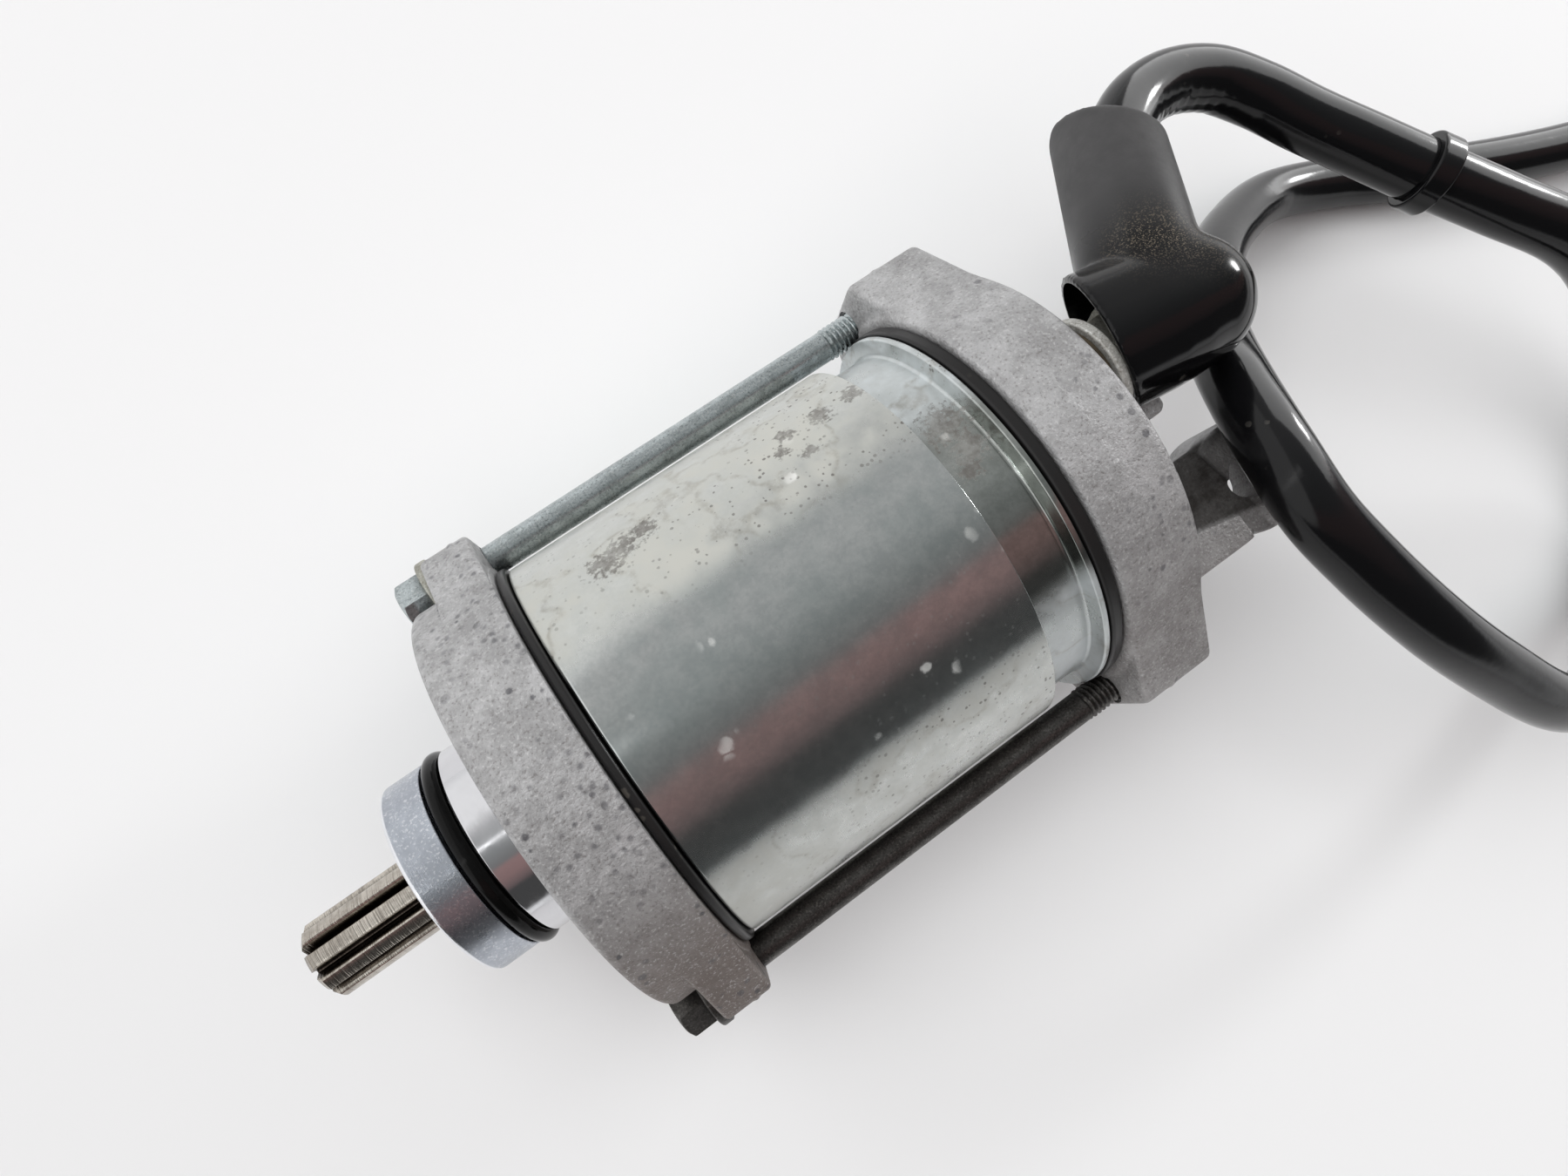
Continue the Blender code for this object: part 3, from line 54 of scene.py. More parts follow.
# Pieces are worked out in millimetres along, across and above the shaft, from the front edge of the yoke
sleeveLow, sleeveHigh = (np.array(corner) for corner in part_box("flux_sleeve"))
motorOrigin = (sleeveLow + sleeveHigh) / 2
motorOrigin[0] = sleeveLow[0]


def toWorld(points):
    return motorOrigin + np.asarray(points, float) * mm


def nodeBox(node):  # corners of a CAD node in the same millimetres
    return [(np.array(corner) - motorOrigin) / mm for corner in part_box(node)]


print("frame loaded, yoke front at", motorOrigin.round(5).tolist())

# Camera
view = {
    "place": (9.796, -0.519, 130.72),  # mm from the front of the yoke
    "right": (0.81432, -0.57246, 0.09574),
    "up": (0.56028, 0.81838, 0.12781),
    "focalPixels": 1067.14,
    "pictureWidth": 1800,
    "sensor": 36.0,
    "clip": (0.002, 20.0),
}


def makeCamera():
    data = bpy.data.cameras.new("photoCamera")
    data.sensor_width = view["sensor"]
    data.lens = view["focalPixels"] * view["sensor"] / view["pictureWidth"]
    data.clip_start, data.clip_end = view["clip"]
    camera = bpy.data.objects.new("photoCamera", data)
    right = Vector(view["right"]).normalized()
    up = Vector(view["up"])
    up = (up - up.dot(right) * right).normalized()
    turn = Matrix((right, up, right.cross(up))).transposed().to_4x4()
    camera.matrix_world = Matrix.Translation(toWorld(view["place"])) @ turn
    bpy.context.scene.collection.objects.link(camera)
    bpy.context.scene.camera = camera


makeCamera()
print("camera placed")


# Surfaces on a grid of rows, each row closed on itself. The last row joins the first if the grid is closed
def gridFaces(rows, columns, closed):
    i, j = np.meshgrid(np.arange(rows if closed else rows - 1), np.arange(columns), indexing="ij")
    below = (i + 1) % rows
    beside = (j + 1) % columns
    corners = [i * columns + j, i * columns + beside, below * columns + beside, below * columns + j]
    return np.stack(corners, axis=-1).reshape(-1, 4)


def meshFrom(name, grid, closed=False):
    mesh = bpy.data.meshes.new(name)
    faces = gridFaces(*grid.shape[:2], closed)
    mesh.from_pydata(toWorld(grid.reshape(-1, 3)).tolist(), [], faces.tolist())
    shape = bmesh.new()
    shape.from_mesh(mesh)
    bmesh.ops.remove_doubles(shape, verts=shape.verts, dist=1e-7)
    bmesh.ops.dissolve_degenerate(shape, edges=shape.edges, dist=1e-8)
    bmesh.ops.recalc_face_normals(shape, faces=shape.faces)
    shape.to_mesh(mesh)
    shape.free()
    return mesh


def addPiece(name, mesh, finish, body, stoodFor=(), degrees=34.0):
    mesh.shade_smooth()
    mesh.set_sharp_from_angle(angle=math.radians(degrees))
    piece = bpy.data.objects.new(name, mesh)
    bpy.context.scene.collection.objects.link(piece)
    mesh.materials.clear()
    mesh.materials.append(finishes[finish])
    if body:  # a piece given no body rides on none
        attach(piece, body)
    if stoodFor:
        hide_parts(*stoodFor)
    return piece


# A corner becomes an arc tangent to both its edges, with a support point just past either end
def rounded(corners, steps=5, support=0.06):
    outline = []
    count = len(corners)
    places = np.array([corner[:2] for corner in corners], float)
    for k in range(count):
        here = places[k]
        radius = corners[k][2] if len(corners[k]) > 2 else 0.0
        before = places[k - 1] - here
        after = places[(k + 1) % count] - here
        reach = min(np.linalg.norm(before), np.linalg.norm(after))
        if radius <= 0.0 or reach < 1e-6:
            outline.append(here[None])
            continue
        before = before / np.linalg.norm(before)
        after = after / np.linalg.norm(after)
        half = math.acos(float(np.clip(before @ after, -1, 1))) / 2
        tangent = min(radius / math.tan(half), reach * 0.48)  # leaves some of either edge straight
        radius = tangent * math.tan(half)
        middle = before + after
        centre = here + middle / np.linalg.norm(middle) * radius / math.sin(half)
        first = here + before * tangent - centre
        last = here + after * tangent - centre
        start = math.atan2(first[1], first[0])
        sweep = (math.atan2(last[1], last[0]) - start + math.pi) % math.tau - math.pi
        angles = start + sweep * np.linspace(0, 1, steps + 1)
        arc = centre + radius * np.stack([np.cos(angles), np.sin(angles)], axis=1)
        ends = [here + before * (tangent + support), here + after * (tangent + support)]
        outline.append(np.vstack([ends[0][None], arc, ends[1][None]]))
    return np.vstack(outline)


# Turned surface: each (along, radius) point of the profile goes round the shaft line, moved to a centre
def turnedPoints(profile, segments, centre=(0.0, 0.0, 0.0)):
    profile = np.asarray(profile, float)
    turn = np.linspace(0, math.tau, segments, endpoint=False)
    along = np.repeat(profile[:, :1], segments, axis=1)
    points = np.stack([along, profile[:, 1:2] * np.cos(turn), profile[:, 1:2] * np.sin(turn)], axis=-1)
    return points + np.array(centre)


def turnedMesh(name, profile, segments=160, centre=(0.0, 0.0, 0.0), closed=True):
    return meshFrom(name, turnedPoints(profile, segments, centre), closed)


# Rows of (along, radius in every direction) become one surface round the shaft line, moved to a centre
def polarMesh(name, rows, turn, closed=False, centre=(0.0, 0.0, 0.0)):
    radius = np.array([np.broadcast_to(row[1], turn.shape) for row in rows])
    along = np.array([row[0] for row in rows])[:, None] + np.zeros_like(radius)
    points = np.stack([along, radius * np.cos(turn), radius * np.sin(turn)], axis=-1)
    return meshFrom(name, points + np.array(centre), closed)


def rodProfile(start, end, radius):
    return [(start, 0.0), (start, radius), (end, radius), (end, 0.0)]


# A fan of faces over the first and last rows of a grid: each runs in to its own middle
def capped(loops):
    ends = [np.broadcast_to(loops[k].mean(axis=0), loops[k].shape)[None] for k in (0, -1)]
    return np.concatenate([ends[0], loops, ends[1]])


def loftMesh(name, loops):
    return meshFrom(name, capped(np.asarray(loops, float)))


print("tools ready")


# Shader tools
class Nodes:
    def __init__(self, tree):
        self.tree = tree
        self.count = 0

    def add(self, kind, inputs=None, **settings):
        node = self.tree.nodes.new(kind)
        node.location = (220 * (self.count % 12), -260 * (self.count // 12))
        self.count += 1
        for name, value in settings.items():
            setattr(node, name, value)
        for name, value in (inputs or {}).items():
            self.plug(node, name, value)
        return node

    def plug(self, node, name, value):
        socket = node.inputs[name]
        if isinstance(value, bpy.types.NodeSocket):
            self.tree.links.new(value, socket)
        else:
            socket.default_value = value

    def math(self, operation, first, second=0.0, clamp=False):
        node = self.add("ShaderNodeMath", {0: first, 1: second}, operation=operation, use_clamp=clamp)
        return node.outputs[0]

    def mix(self, share, first, second):
        node = self.add("ShaderNodeMix", {"Factor": share}, data_type="RGBA")
        self.plug(node, 6, first)  # the colour sockets A and B
        self.plug(node, 7, second)
        return node.outputs[2]

    def ramp(self, value, low, high):
        inputs = {"Value": value, "From Min": low, "From Max": high}
        return self.add("ShaderNodeMapRange", inputs, interpolation_type="SMOOTHSTEP").outputs["Result"]

    def noise(self, place, scale, detail=3.0, roughness=0.55):
        inputs = {"Vector": place, "Scale": scale, "Detail": detail, "Roughness": roughness}
        return self.add("ShaderNodeTexNoise", inputs).outputs["Fac"]

    def stretch(self, place, scale):
        return self.add("ShaderNodeVectorMath", {0: place, 1: scale}, operation="MULTIPLY").outputs[0]

    def bump(self, height, strength, distance):
        inputs = {"Height": height, "Strength": strength, "Distance": distance}
        return self.add("ShaderNodeBump", inputs).outputs["Normal"]

    def group(self, tree, **inputs):
        return self.add("ShaderNodeGroup", inputs, node_tree=tree).outputs[0]

    def axis(self, place, name):
        return self.add("ShaderNodeSeparateXYZ", {0: place}).outputs[name]


def scaled(shader, mask, share, base=0.0):
    node = shader.add("ShaderNodeMath", {0: mask, 1: share, 2: base}, operation="MULTIPLY_ADD")
    return node.outputs[0]


def alongStops(stops):  # from millimetres along the shaft to the X of object coordinates
    return [float(motorOrigin[0]) + stop * mm for stop in stops]


# A group takes vectors and numbers, and puts out one mask
def newGroup(name, vectors, **numbers):
    tree = bpy.data.node_groups.new(name, "ShaderNodeTree")
    for socketName in vectors:
        tree.interface.new_socket(socketName, in_out="INPUT", socket_type="NodeSocketVector")
    for socketName, value in numbers.items():
        socket = tree.interface.new_socket(socketName, in_out="INPUT", socket_type="NodeSocketFloat")
        socket.default_value = value
    tree.interface.new_socket("Mask", in_out="OUTPUT", socket_type="NodeSocketFloat")
    shader = Nodes(tree)
    return tree, shader, shader.add("NodeGroupInput").outputs, shader.add("NodeGroupOutput")


# Specks: one dot to a cell, of a size by chance and with a ragged edge, kept where a slower field is high
def makeSpecks():
    tree, shader, given, result = newGroup("specks", ["Place"], Scale=900.0, Share=0.4, Patch=60.0)
    inputs = {"Vector": given["Place"], "Scale": given["Scale"]}
    cells = shader.add("ShaderNodeTexVoronoi", inputs, feature="F1")
    chance = shader.add("ShaderNodeSeparateColor", {0: cells.outputs["Color"]}).outputs["Red"]
    rag = shader.noise(given["Place"], shader.math("MULTIPLY", given["Scale"], 2.5), 2.0, 0.6)
    reach = scaled(shader, shader.math("POWER", chance, 2.0), 0.45, scaled(shader, rag, 0.30, -0.17))
    dot = shader.math("MULTIPLY", shader.math("SUBTRACT", reach, cells.outputs["Distance"]), 9.0, True)
    patch = shader.noise(given["Place"], given["Patch"], 2.0, 0.5)
    edge = shader.math("SUBTRACT", 0.66, shader.math("MULTIPLY", given["Share"], 0.3))
    field = shader.math("MULTIPLY", shader.math("SUBTRACT", patch, edge), 7.0, True)
    shader.plug(result, "Mask", shader.math("MULTIPLY", field, dot))
    return tree


# Blotch: a cloudy field that falls off with distance from a chosen place, cut at a level
def makeBlotch():
    tree, shader, given, result = newGroup("blotch", ["Place", "Centre"], Reach=0.002, Scale=700.0)
    away = shader.add("ShaderNodeVectorMath", {0: given["Place"], 1: given["Centre"]}, operation="DISTANCE")
    share = shader.math("DIVIDE", away.outputs["Value"], given["Reach"])
    field = shader.noise(given["Place"], given["Scale"], 4.0, 0.65)
    level = shader.math("SUBTRACT", field, shader.math("MULTIPLY", share, 0.42))
    shader.plug(result, "Mask", shader.math("MULTIPLY", shader.math("SUBTRACT", level, 0.24), 9.0, True))
    return tree


# Tool marks: a noise drawn out round the shaft, so that it changes along it alone
def makeLathed():
    tree, shader, given, result = newGroup("toolMarks", ["Place"], Lines=4000.0)
    along = shader.axis(given["Place"], "X")
    line = shader.add("ShaderNodeCombineXYZ", {"X": along}).outputs[0]
    wide = shader.stretch(given["Place"], (1.0, 0.04, 0.04))
    place = shader.add("ShaderNodeVectorMath", {0: line, 1: wide}, operation="ADD").outputs[0]
    shader.plug(result, "Mask", shader.noise(place, given["Lines"], 2.0, 0.6))
    return tree


# Mottle: two sizes of soft cloud
def makeMottle():
    tree, shader, given, result = newGroup("mottle", ["Place"], Scale=120.0)
    large = shader.noise(given["Place"], given["Scale"], 4.0, 0.6)
    small = shader.noise(given["Place"], shader.math("MULTIPLY", given["Scale"], 4.3), 4.0, 0.65)
    both = shader.math("ADD", shader.math("MULTIPLY", large, 0.6), shader.math("MULTIPLY", small, 0.4))
    shader.plug(result, "Mask", shader.ramp(both, 0.36, 0.64))
    return tree


specks = makeSpecks()
blotch = makeBlotch()
toolMarks = makeLathed()
mottle = makeMottle()


def startFinish(name, roughness=0.5, metallic=0.0, specular=0.5):
    finish = bpy.data.materials.new(name)
    finish.use_nodes = True
    shader = Nodes(finish.node_tree)
    surface = finish.node_tree.nodes["Principled BSDF"]
    surface.inputs["Roughness"].default_value = roughness
    surface.inputs["Metallic"].default_value = metallic
    surface.inputs["Specular IOR Level"].default_value = specular
    place = shader.add("ShaderNodeTexCoord").outputs["Object"]
    return finish, shader, surface, place


# Die cast skin: cloudy grey with clusters of dark flecks and a fine grain, browner and darker on the lower
# (-Y) side, partly painted shade
def makeCast(name, look):
    finish, shader, surface, place = startFinish(name, 0.5, look["metal"])
    cloud = shader.group(mottle, Place=place, Scale=150.0)
    grain = shader.noise(place, 2600.0, 2.0, 0.6)
    base = shader.mix(scaled(shader, cloud, 0.7), look["light"], look["dark"])
    across = shader.axis(place, "Y")
    # painted shade, partly a browner tone: the -Y side, away from the key lamp, is darkened towards a brown
    low = shader.ramp(across, -0.008, -0.027)
    base = shader.mix(shader.math("MULTIPLY", low, look["brownShadeShare"]), base, look["brownShade"])
    base = shader.mix(scaled(shader, shader.ramp(grain, 0.56, 0.70), 0.45), base, look["sparkle"])
    base = shader.mix(scaled(shader, shader.ramp(grain, 0.44, 0.30), 0.45), base, look["dirt"])
    fleck = shader.group(specks, Place=place, Scale=620.0, Share=look["flecks"], Patch=95.0)
    base = shader.mix(scaled(shader, fleck, 0.75), base, look["pits"])
    cluster = shader.ramp(shader.noise(place, 60.0, 2.0, 0.5), *look["clusters"])
    cells = shader.add("ShaderNodeTexVoronoi", {"Vector": place, "Scale": 880.0}, feature="F1")
    chance = shader.add("ShaderNodeSeparateColor", {0: cells.outputs["Color"]}).outputs["Red"]
    dot = shader.ramp(cells.outputs["Distance"], 0.50, 0.12)
    hollow = shader.math("MULTIPLY", dot, shader.ramp(chance, 0.40, 0.60))
    base = shader.mix(scaled(shader, shader.math("MULTIPLY", cluster, hollow), 0.6), base, look["pits"])
    rough = scaled(shader, cloud, 0.16, 0.44)
    # painted shade with soil: on the rear bracket the lug's arm is darkened almost to black
    if look["grimeAndShade"]:
        soiledAndShaded = shader.add("ShaderNodeAttribute", attribute_name="grimeAndShade").outputs["Fac"]
        soiledAndShaded = shader.math("MULTIPLY", soiledAndShaded, scaled(shader, cloud, -0.25, 0.98))
        base = shader.mix(soiledAndShaded, base, look["soilAndShade"])
        rough = shader.math("ADD", rough, scaled(shader, soiledAndShaded, 0.4))
    shader.plug(surface, "Base Color", base)
    shader.plug(surface, "Roughness", rough)
    pits = shader.math("ADD", grain, scaled(shader, cloud, 1.2))
    shader.plug(surface, "Normal", shader.bump(pits, 0.75, 0.00015))
    return finish


# Zinc plate on steel: bright and cloudy, with a pale stained film on its sides that is partly a painted
# reflection, dark blotches and white specks
def makeZinc(name, look):
    finish, shader, surface, place = startFinish(name, 0.18, 1.0)
    lines = shader.group(toolMarks, Place=place, Lines=3500.0)
    cloud = shader.group(mottle, Place=place, Scale=75.0)
    fine = shader.group(mottle, Place=place, Scale=420.0)
    across = shader.axis(place, "Y")
    # painted reflection, partly a real stained film: pale, less metallic bands over the +Y and -Y sides
    upper = shader.ramp(across, *look["upper"])
    lower = shader.ramp(across, *look["lower"])
    upper = scaled(shader, upper, look["filmAndReflection"][0])
    sides = shader.math("MAXIMUM", upper, scaled(shader, lower, look["filmAndReflection"][1]))
    filmAndReflection = shader.math("MULTIPLY", sides, scaled(shader, cloud, 0.7, 0.5), True)
    base = shader.mix(scaled(shader, fine, 0.55), look["clean"], look["cloudy"])
    base = shader.mix(scaled(shader, cloud, 0.4), base, look["haze"])
    base = shader.mix(filmAndReflection, base, look["stainAndReflection"])
    pepper = shader.group(specks, Place=place, Scale=1500.0, Share=look["pepper"], Patch=95.0)
    rearward = shader.ramp(shader.axis(place, "X"), *alongStops(look["rearward"]))
    spread = shader.math("MULTIPLY", scaled(shader, sides, 0.9, 0.08), scaled(shader, rearward, 0.7, 0.3))
    pepper = shader.math("MULTIPLY", pepper, spread)
    level = shader.math("ABSOLUTE", shader.math("SUBTRACT", shader.noise(place, 75.0, 3.0, 0.5), 0.5))
    tide = shader.math("MULTIPLY", shader.ramp(level, 0.030, 0.0), shader.math("MULTIPLY", sides, fine))
    base = shader.mix(scaled(shader, tide, 0.45), base, look["tide"])
    base = shader.mix(scaled(shader, pepper, 0.7), base, look["dirt"])
    marks = pepper
    for centre, reach in look["blotches"]:
        centre = tuple(toWorld(centre))
        spot = shader.group(blotch, Place=place, Centre=centre, Reach=reach * mm, Scale=1300.0)
        marks = shader.math("MAXIMUM", marks, spot)
    base = shader.mix(shader.math("MULTIPLY", marks, scaled(shader, fine, 0.35, 0.55)), base, look["dirt"])
    white = shader.group(specks, Place=place, Scale=330.0, Share=look["white"], Patch=120.0)
    base = shader.mix(scaled(shader, white, 0.8), base, look["fleck"])
    shader.plug(surface, "Base Color", base)
    rough = shader.math("ADD", scaled(shader, lines, 0.06), scaled(shader, cloud, 0.07, look["rough"]))
    rough = shader.math("ADD", rough, scaled(shader, shader.math("MAXIMUM", filmAndReflection, marks), 0.30))
    shader.plug(surface, "Roughness", rough)
    dull = shader.math("MAXIMUM", scaled(shader, filmAndReflection, 0.65), shader.math("MAXIMUM", marks, white))
    shader.plug(surface, "Metallic", scaled(shader, dull, -0.85, 1.0))
    shader.plug(surface, "Normal", shader.bump(lines, 0.06, 0.00003))
    return finish


# Machined metal: bright, with tool marks round it and a fine sparkle
def makeTurned(name, look):
    finish, shader, surface, place = startFinish(name, look["rough"], 1.0)
    marks = shader.group(toolMarks, Place=place, Lines=look["lines"])
    cloud = shader.group(mottle, Place=place, Scale=200.0)
    grain = shader.noise(place, 2800.0, 2.0, 0.6)
    base = shader.mix(scaled(shader, cloud, look["grimeAndShade"]), look["tint"], look["dark"])
    base = shader.mix(scaled(shader, shader.ramp(grain, 0.54, 0.68), look["sparkle"]), base, look["pale"])
    rim = shader.ramp(shader.axis(place, "X"), *alongStops(look["rim"]))
    base = shader.mix(rim, base, look["pale"])
    shader.plug(surface, "Base Color", base)
    rough = scaled(shader, cloud, 0.12, look["rough"])
    polish = scaled(shader, rim, look["rough"] * 0.6)
    shader.plug(surface, "Roughness", shader.math("SUBTRACT", rough, polish))
    height = shader.math("ADD", marks, scaled(shader, grain, look["grain"]))
    shader.plug(surface, "Normal", shader.bump(height, look["depth"], 0.00004))
    return finish


# Pinion steel: bright where the teeth run, darker down in their gaps as painted shade, with chatter marks
# along it
def makePinion(name, look):
    finish, shader, surface, place = startFinish(name, 0.25, 1.0)
    parts = shader.add("ShaderNodeSeparateXYZ", {0: place}).outputs
    above = shader.math("SUBTRACT", parts["Z"], float(motorOrigin[2]))
    square = shader.math("ADD", shader.math("POWER", above, 2.0), shader.math("POWER", parts["Y"], 2.0))
    reach = shader.math("SQRT", square)
    cloud = shader.group(mottle, Place=place, Scale=260.0)
    marks = shader.group(toolMarks, Place=place, Lines=2300.0)
    # painted shade: below the tooth tops the metal darkens to the gap colour
    base = shader.mix(shader.ramp(reach, *look["height"]), look["gap"], look["top"])
    base = shader.mix(scaled(shader, cloud, 0.45), base, look["oil"])
    base = shader.mix(scaled(shader, shader.ramp(marks, 0.48, 0.38), 0.35), base, look["chatter"])
    shader.plug(surface, "Base Color", base)
    shader.plug(surface, "Roughness", scaled(shader, cloud, 0.14, 0.13))
    shader.plug(surface, "Normal", shader.bump(marks, 0.8, 0.00012))
    return finish


# Plated bolt: grey with pale and dark pepper all over
def makeBolt(name, tint, pale, dark, share, roughness, metallic=0.9):
    finish, shader, surface, place = startFinish(name, roughness, metallic)
    cloud = shader.group(mottle, Place=place, Scale=160.0)
    grain = shader.noise(place, 3200.0, 3.0, 0.65)
    base = shader.mix(scaled(shader, cloud, 0.5), tint, dark)
    base = shader.mix(scaled(shader, shader.ramp(grain, 0.54, 0.66), share), base, pale)
    base = shader.mix(scaled(shader, shader.ramp(grain, 0.46, 0.34), 0.7), base, dark)
    shader.plug(surface, "Base Color", base)
    shader.plug(surface, "Roughness", scaled(shader, cloud, 0.18, roughness))
    shader.plug(surface, "Normal", shader.bump(grain, 0.2, 0.00006))
    return finish


# Black moulding: rubber or sheath, with pale dust where the mask of specks falls
def makeBlack(name, tint, roughness, dustShare, dust, shine=0.3):
    finish, shader, surface, place = startFinish(name, roughness, 0.0, shine)
    fleck = shader.group(specks, Place=place, Scale=900.0, Share=dustShare, Patch=60.0)
    cloud = shader.group(mottle, Place=place, Scale=90.0)
    base = shader.mix(scaled(shader, fleck, 0.35), tint, dust)
    shader.plug(surface, "Base Color", base)
    rough = scaled(shader, cloud, 0.05, roughness)
    shader.plug(surface, "Roughness", shader.math("ADD", rough, scaled(shader, fleck, 0.3)))
    shader.plug(surface, "Normal", shader.bump(cloud, 0.05, 0.0002))
    return finish


# Boot rubber: glossy on the dome, dull and paler along the sleeve, with brown dust in the neck
def makeBootRubber(name, look):
    finish, shader, surface, place = startFinish(name, 0.1, 0.0, 0.3)
    sleeve = shader.add("ShaderNodeAttribute", attribute_name="sleeve").outputs["Fac"]
    neck = shader.add("ShaderNodeAttribute", attribute_name="neck").outputs["Fac"]
    cloud = shader.group(mottle, Place=place, Scale=110.0)
    grain = shader.noise(place, 2300.0, 3.0, 0.6)
    base = shader.mix(sleeve, look["dome"], look["sleeve"])
    base = shader.mix(shader.math("MULTIPLY", sleeve, scaled(shader, cloud, 0.35)), base, look["cloudy"])
    powder = shader.noise(place, 4200.0, 2.0, 0.7)
    dust = shader.math("MULTIPLY", neck, shader.ramp(powder, 0.54, 0.62))
    base = shader.mix(scaled(shader, dust, 0.65), base, look["dust"])
    lint = shader.group(specks, Place=place, Scale=520.0, Share=0.10, Patch=100.0)
    base = shader.mix(scaled(shader, lint, 0.35), base, look["lint"])
    shader.plug(surface, "Base Color", base)
    rough = shader.math("ADD", scaled(shader, sleeve, 0.45, 0.07), scaled(shader, neck, 0.20))
    shader.plug(surface, "Roughness", shader.math("ADD", rough, scaled(shader, cloud, 0.06)))
    shader.plug(surface, "Normal", shader.bump(grain, scaled(shader, sleeve, 0.12, 0.02), 0.0001))
    return finish


# Plain inner metal or moulding with a cloudy tone
def makeInner(name, tint, roughness, metallic):
    finish, shader, surface, place = startFinish(name, roughness, metallic)
    cloud = shader.group(mottle, Place=place, Scale=260.0)
    dark = tuple(part * 0.6 for part in tint[:3]) + (1,)
    shader.plug(surface, "Base Color", shader.mix(cloud, tint, dark))
    shader.plug(surface, "Normal", shader.bump(cloud, 0.1, 0.0001))
    return finish


castLook = {
    "light": (0.47, 0.47, 0.475, 1), "dark": (0.25, 0.247, 0.247, 1), "sparkle": (0.66, 0.66, 0.66, 1),
    "dirt": (0.12, 0.105, 0.095, 1), "pits": (0.075, 0.075, 0.085, 1),
    "brownShade": (0.18, 0.15, 0.135, 1), "soilAndShade": (0.026, 0.023, 0.020, 1),
    "metal": 0.35, "brownShadeShare": 0.95, "flecks": 0.85, "clusters": (0.44, 0.58), "grimeAndShade": False,
}
rearLook = dict(castLook, flecks=0.45, clusters=(0.54, 0.66), grimeAndShade=True, brownShadeShare=0.35)
sleeveLook = {
    "clean": (0.62, 0.64, 0.63, 1), "cloudy": (0.43, 0.46, 0.46, 1), "haze": (0.36, 0.42, 0.415, 1),
    "stainAndReflection": (0.58, 0.58, 0.535, 1), "tide": (0.22, 0.19, 0.14, 1), "dirt": (0.12, 0.11, 0.10, 1),
    # upper, lower and the film shares set the pale side bands, partly a painted reflection
    "fleck": (0.85, 0.85, 0.82, 1), "upper": (0.0085, 0.0135), "lower": (-0.0155, -0.0183),
    "filmAndReflection": (0.8, 0.6), "rearward": (8.0, 40.0), "pepper": 0.95, "white": 0.30, "rough": 0.13,
    "blotches": (
        ((11.2, 19.5, 21.5), 4.2), ((13.6, 20.0, 21.0), 3.4), ((16.9, 20.4, 20.6), 3.0),
        ((42.6, 20.2, 20.8), 2.8), ((37.7, 20.5, 20.6), 2.2), ((47.6, 20.4, 20.6), 2.6),
        ((38.3, 16.8, 23.7), 2.0), ((35.6, 18.6, 22.2), 1.7),
    ),
}
tubeLook = dict(
    sleeveLook, clean=(0.46, 0.48, 0.46, 1), cloudy=(0.27, 0.29, 0.27, 1), stainAndReflection=(0.62, 0.66, 0.67, 1),
    haze=(0.24, 0.25, 0.235, 1), lower=(-0.0120, -0.0155), filmAndReflection=(0.95, 0.85),
    pepper=0.4, white=0.1, rough=0.08,
    blotches=(((53.2, 10.0, 25.1), 5.0), ((53.6, 6.0, 26.3), 4.0), ((52.0, 4.0, 26.7), 2.5)),
)
seatLook = {
    "tint": (0.71, 0.71, 0.73, 1), "dark": (0.45, 0.45, 0.46, 1), "pale": (0.85, 0.85, 0.86, 1),
    "rough": 0.07, "lines": 5000.0, "depth": 0.08, "grimeAndShade": 0.1, "sparkle": 0.0, "grain": 0.0,
    "rim": (-29.3, -29.4),
}
landLook = {
    "tint": (0.47, 0.50, 0.55, 1), "dark": (0.27, 0.29, 0.33, 1), "pale": (0.86, 0.87, 0.90, 1),
    "rough": 0.22, "lines": 3000.0, "depth": 0.30, "grimeAndShade": 0.35, "sparkle": 0.5, "grain": 1.6,
    "rim": (-28.75, -28.95),
}
pinionLook = {
    "gap": (0.035, 0.029, 0.024, 1), "top": (0.60, 0.56, 0.50, 1), "oil": (0.16, 0.13, 0.105, 1),
    "chatter": (0.13, 0.11, 0.09, 1), "height": (0.0038, 0.0051),
}
bootLook = {
    "dome": (0.004, 0.004, 0.0045, 1), "sleeve": (0.062, 0.061, 0.062, 1), "cloudy": (0.028, 0.028, 0.029, 1),
    "dust": (0.24, 0.20, 0.15, 1), "lint": (0.30, 0.28, 0.25, 1),
}
